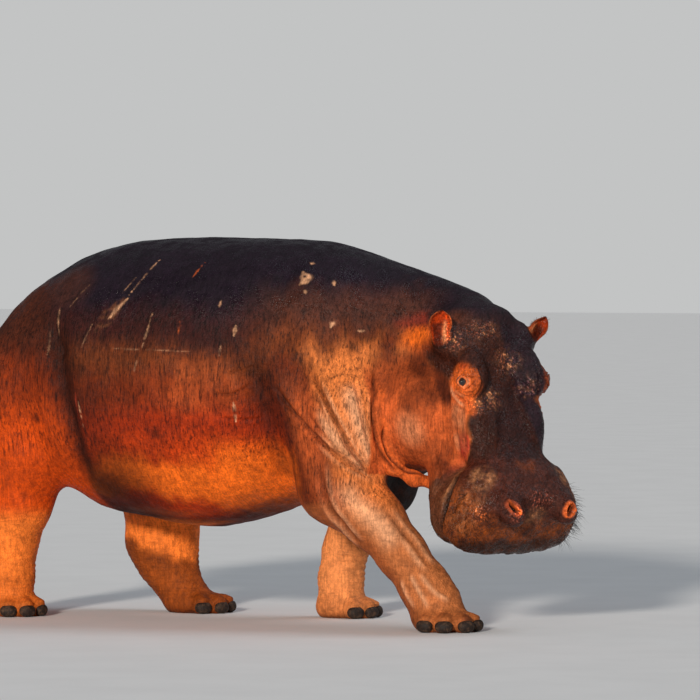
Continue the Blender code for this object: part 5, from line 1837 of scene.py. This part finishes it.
class HippoStudio(bpy.types.PropertyGroup):
    """Floor, light and camera."""
    turn: bpy.props.FloatProperty(
        name="Camera turn", description="How far round the animal the camera stands",
        default=math.radians(28), subtype="ANGLE")
    distance: bpy.props.FloatProperty(
        name="Camera distance", description="From the middle of the floor",
        default=22.0, min=2.0, unit="LENGTH")
    lens: bpy.props.FloatProperty(
        name="Lens", description="Focal length in millimetres", default=291.9, min=10.0)
    floor: bpy.props.FloatProperty(
        name="Floor", description="Half the floor's side", default=90.0, min=5.0, unit="LENGTH")


# ---------- floor, lights and camera
# each lamp: its place, how wide it looks in degrees, strength, colour
LAMPS = {"key": ((2.4, -11.6, 4.0), 6, 3.0, (1.0, 0.93, 0.84)),
         "side": ((9.0, -5.0, 3.5), 40, 0.2, (1.0, 0.96, 0.92)),
         "sky": ((5.0, 4.0, 9.0), 30, 0.85, (0.84, 0.92, 1.0))}
LAMPS_AIM = (0, 0, 0.7)
CAMERA_HEIGHT, CAMERA_ASIDE, CAMERA_DIP = 1.442, 0.6318, math.radians(1.06)


def lay_floor(scene):
    """A plain pale floor."""
    s = scene.hippo_studio.floor
    mesh = bpy.data.meshes.new("floor")
    mesh.from_pydata([(-s, -s, 0), (s, -s, 0), (s, s, 0), (-s, s, 0)], [], [(0, 1, 2, 3)])
    f = Finish("pale_floor", Roughness=0.9)
    mesh.materials.append(f.finish(f.span(f.noise(3.0, 3.0), 0.2, 0.8, 0.78, 0.82)))
    floor = bpy.data.objects.new("floor", mesh)
    scene.collection.objects.link(floor)


def light_world(scene):
    """A grey backdrop where the camera sees it, and a faint cool glow everywhere else."""
    world = bpy.data.worlds.new("studio")
    world.use_nodes = True
    nodes, joins = world.node_tree.nodes, world.node_tree.links
    backdrop, glow = nodes["Background"], nodes.new("ShaderNodeBackground")
    backdrop.inputs["Color"].default_value = (*tone(195, 196, 196), 1)
    glow.inputs["Color"].default_value = (0.9, 0.94, 1.0, 1)
    glow.inputs["Strength"].default_value = 0.16
    choice, seen = nodes.new("ShaderNodeMixShader"), nodes.new("ShaderNodeLightPath")
    joins.new(seen.outputs["Is Camera Ray"], choice.inputs[0])
    joins.new(glow.outputs[0], choice.inputs[1])
    joins.new(backdrop.outputs[0], choice.inputs[2])
    joins.new(choice.outputs[0], nodes["World Output"].inputs[0])
    scene.world = world


def hang_lamps(scene):
    """Soft sun lamps, all turned towards the animal's middle."""
    for name, (place, spread, strength, colour) in LAMPS.items():
        lamp = bpy.data.lights.new(name, "SUN")
        lamp.angle = math.radians(spread)
        lamp.energy = strength
        lamp.color = colour
        light = bpy.data.objects.new(name, lamp)
        light.location = place
        aim = Vector(LAMPS_AIM) - Vector(place)
        light.rotation_euler = aim.to_track_quat("-Z", "Y").to_euler()
        scene.collection.objects.link(light)


def place_camera(scene):
    """A long lens at a person's height, looking along the floor and a little down."""
    studio = scene.hippo_studio
    right = Vector((math.cos(studio.turn), math.sin(studio.turn), 0))
    away = Vector((-math.sin(studio.turn), math.cos(studio.turn), 0))
    lens = bpy.data.cameras.new("camera")
    lens.lens = studio.lens
    lens.sensor_width = 36.0
    lens.clip_end = 400
    camera = bpy.data.objects.new("camera", lens)
    camera.location = (right * CAMERA_ASIDE - away * studio.distance
                       + Vector((-LOINS_TO_ORIGIN, 0, CAMERA_HEIGHT)))
    look = away * math.cos(CAMERA_DIP) - Vector((0, 0, math.sin(CAMERA_DIP)))
    camera.rotation_euler = look.to_track_quat("-Z", "Y").to_euler()
    scene.collection.objects.link(camera)
    scene.camera = camera


# ---------- operators
class HIPPO_OT_skin(bpy.types.Operator):
    """Covers the whole animal in one creased, painted skin"""
    bl_idname = "hippo.skin"
    bl_label = "Skin"

    def execute(self, context):
        points, faces, base, marks = shape_skin(context.scene.hippo_form.folds)
        skin = make_piece("skin", points, faces, hide_finish())
        add_colours(skin, "Hide", paint_skin(base, marks))
        for name, values in skin_masks(base, marks).items():
            add_values(skin, name, values)
        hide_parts(*[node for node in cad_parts
                            if "nail" not in node and "eye" not in node])
        return {"FINISHED"}


class HIPPO_OT_bristles(bpy.types.Operator):
    """Grows whiskers, ear fringes, the tail's tassel and short hairs out of the skin"""
    bl_idname = "hippo.bristles"
    bl_label = "Bristles"

    def execute(self, context):
        points, faces, base, _ = shape_skin(context.scene.hippo_form.folds)
        sets = bristle_sets(points, normals_of(points, faces), base)
        roots, ways, droops, lengths, thick, places, tints = sets
        hair, hair_faces, share = hairs(roots, ways, droops, lengths, thick)
        coat = make_piece("bristles", hair, hair_faces, bristle_finish())
        each = len(hair) // len(roots)
        add_colours(coat, "Tint", np.repeat(tints, each, axis=0) * (1 + 0.8 * share)[:, None])
        patch = np.stack([np.tile([0, PATCH_SIDE / 2, PATCH_SIDE], len(hair) // 3),
                          PATCH_SIDE * share], 1)
        flat = np.repeat(unwrap(places), each, axis=0) + patch - PATCH_SIDE / 2
        layer = coat.data.uv_layers.new(name="OFBake")
        layer.data.foreach_set("uv", flat[hair_faces.ravel()].astype(np.float32).ravel())
        return {"FINISHED"}


class HIPPO_OT_eyes(bpy.types.Operator):
    """Sets two wet dark eyes in their lids"""
    bl_idname = "hippo.eyes"
    bl_label = "Eyes"

    def execute(self, context):
        points, faces, tints = eye_pair()
        eyes = make_piece("eyes", points, faces, eye_finish())
        add_colours(eyes, "Tint", tints)
        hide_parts("eye_right", "eye_left")
        return {"FINISHED"}


class HIPPO_OT_toenails(bpy.types.Operator):
    """Puts a domed horn nail on the front of each toe"""
    bl_idname = "hippo.toenails"
    bl_label = "Toenails"

    def execute(self, context):
        points, faces = nail_set()
        nails = make_piece("toenails", points, faces, horn_finish())
        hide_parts(*[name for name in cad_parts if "nail" in name])
        return {"FINISHED"}


class HIPPO_OT_studio(bpy.types.Operator):
    """Lays a pale floor and sets soft lights and the camera"""
    bl_idname = "hippo.studio"
    bl_label = "Studio"

    def execute(self, context):
        scene = context.scene
        for name in ("Cube", "Light", "Camera"):
            spare = bpy.data.objects.get(name)
            if spare:
                bpy.data.objects.remove(spare)
        scene.view_settings.view_transform = "Standard"
        lay_floor(scene)
        light_world(scene)
        hang_lamps(scene)
        place_camera(scene)
        return {"FINISHED"}


class HIPPO_PT_panel(bpy.types.Panel):
    """Lists the hippopotamus's pieces"""
    bl_idname = "HIPPO_PT_panel"
    bl_label = "Hippopotamus"
    bl_space_type = "VIEW_3D"
    bl_region_type = "UI"
    bl_category = "Hippopotamus"

    def draw(self, context):
        for operator in OPERATORS:
            self.layout.operator(operator.bl_idname)
        for group in SETTINGS:
            for name in SETTINGS[group].__annotations__:
                self.layout.prop(getattr(context.scene, group), name)


OPERATORS = (HIPPO_OT_studio, HIPPO_OT_skin, HIPPO_OT_bristles, HIPPO_OT_eyes, HIPPO_OT_toenails)
SETTINGS = {"hippo_hide": HippoHide, "hippo_form": HippoForm, "hippo_bristles": HippoBristles,
            "hippo_studio": HippoStudio}


def register():
    """Adds the settings, operators and panel."""
    for kind in (*SETTINGS.values(), *OPERATORS, HIPPO_PT_panel):
        bpy.utils.register_class(kind)
    for group, kind in SETTINGS.items():
        setattr(bpy.types.Scene, group, bpy.props.PointerProperty(type=kind))


def unregister():
    """Takes the settings, operators and panel away again."""
    for group in SETTINGS:
        delattr(bpy.types.Scene, group)
    for kind in (HIPPO_PT_panel, *OPERATORS[::-1], *list(SETTINGS.values())[::-1]):
        bpy.utils.unregister_class(kind)


def main():
    """Makes every piece in order."""
    register()
    bpy.ops.hippo.studio()
    bpy.ops.hippo.skin()
    bpy.ops.hippo.bristles()
    bpy.ops.hippo.eyes()
    bpy.ops.hippo.toenails()


if __name__ == "__main__":
    main()
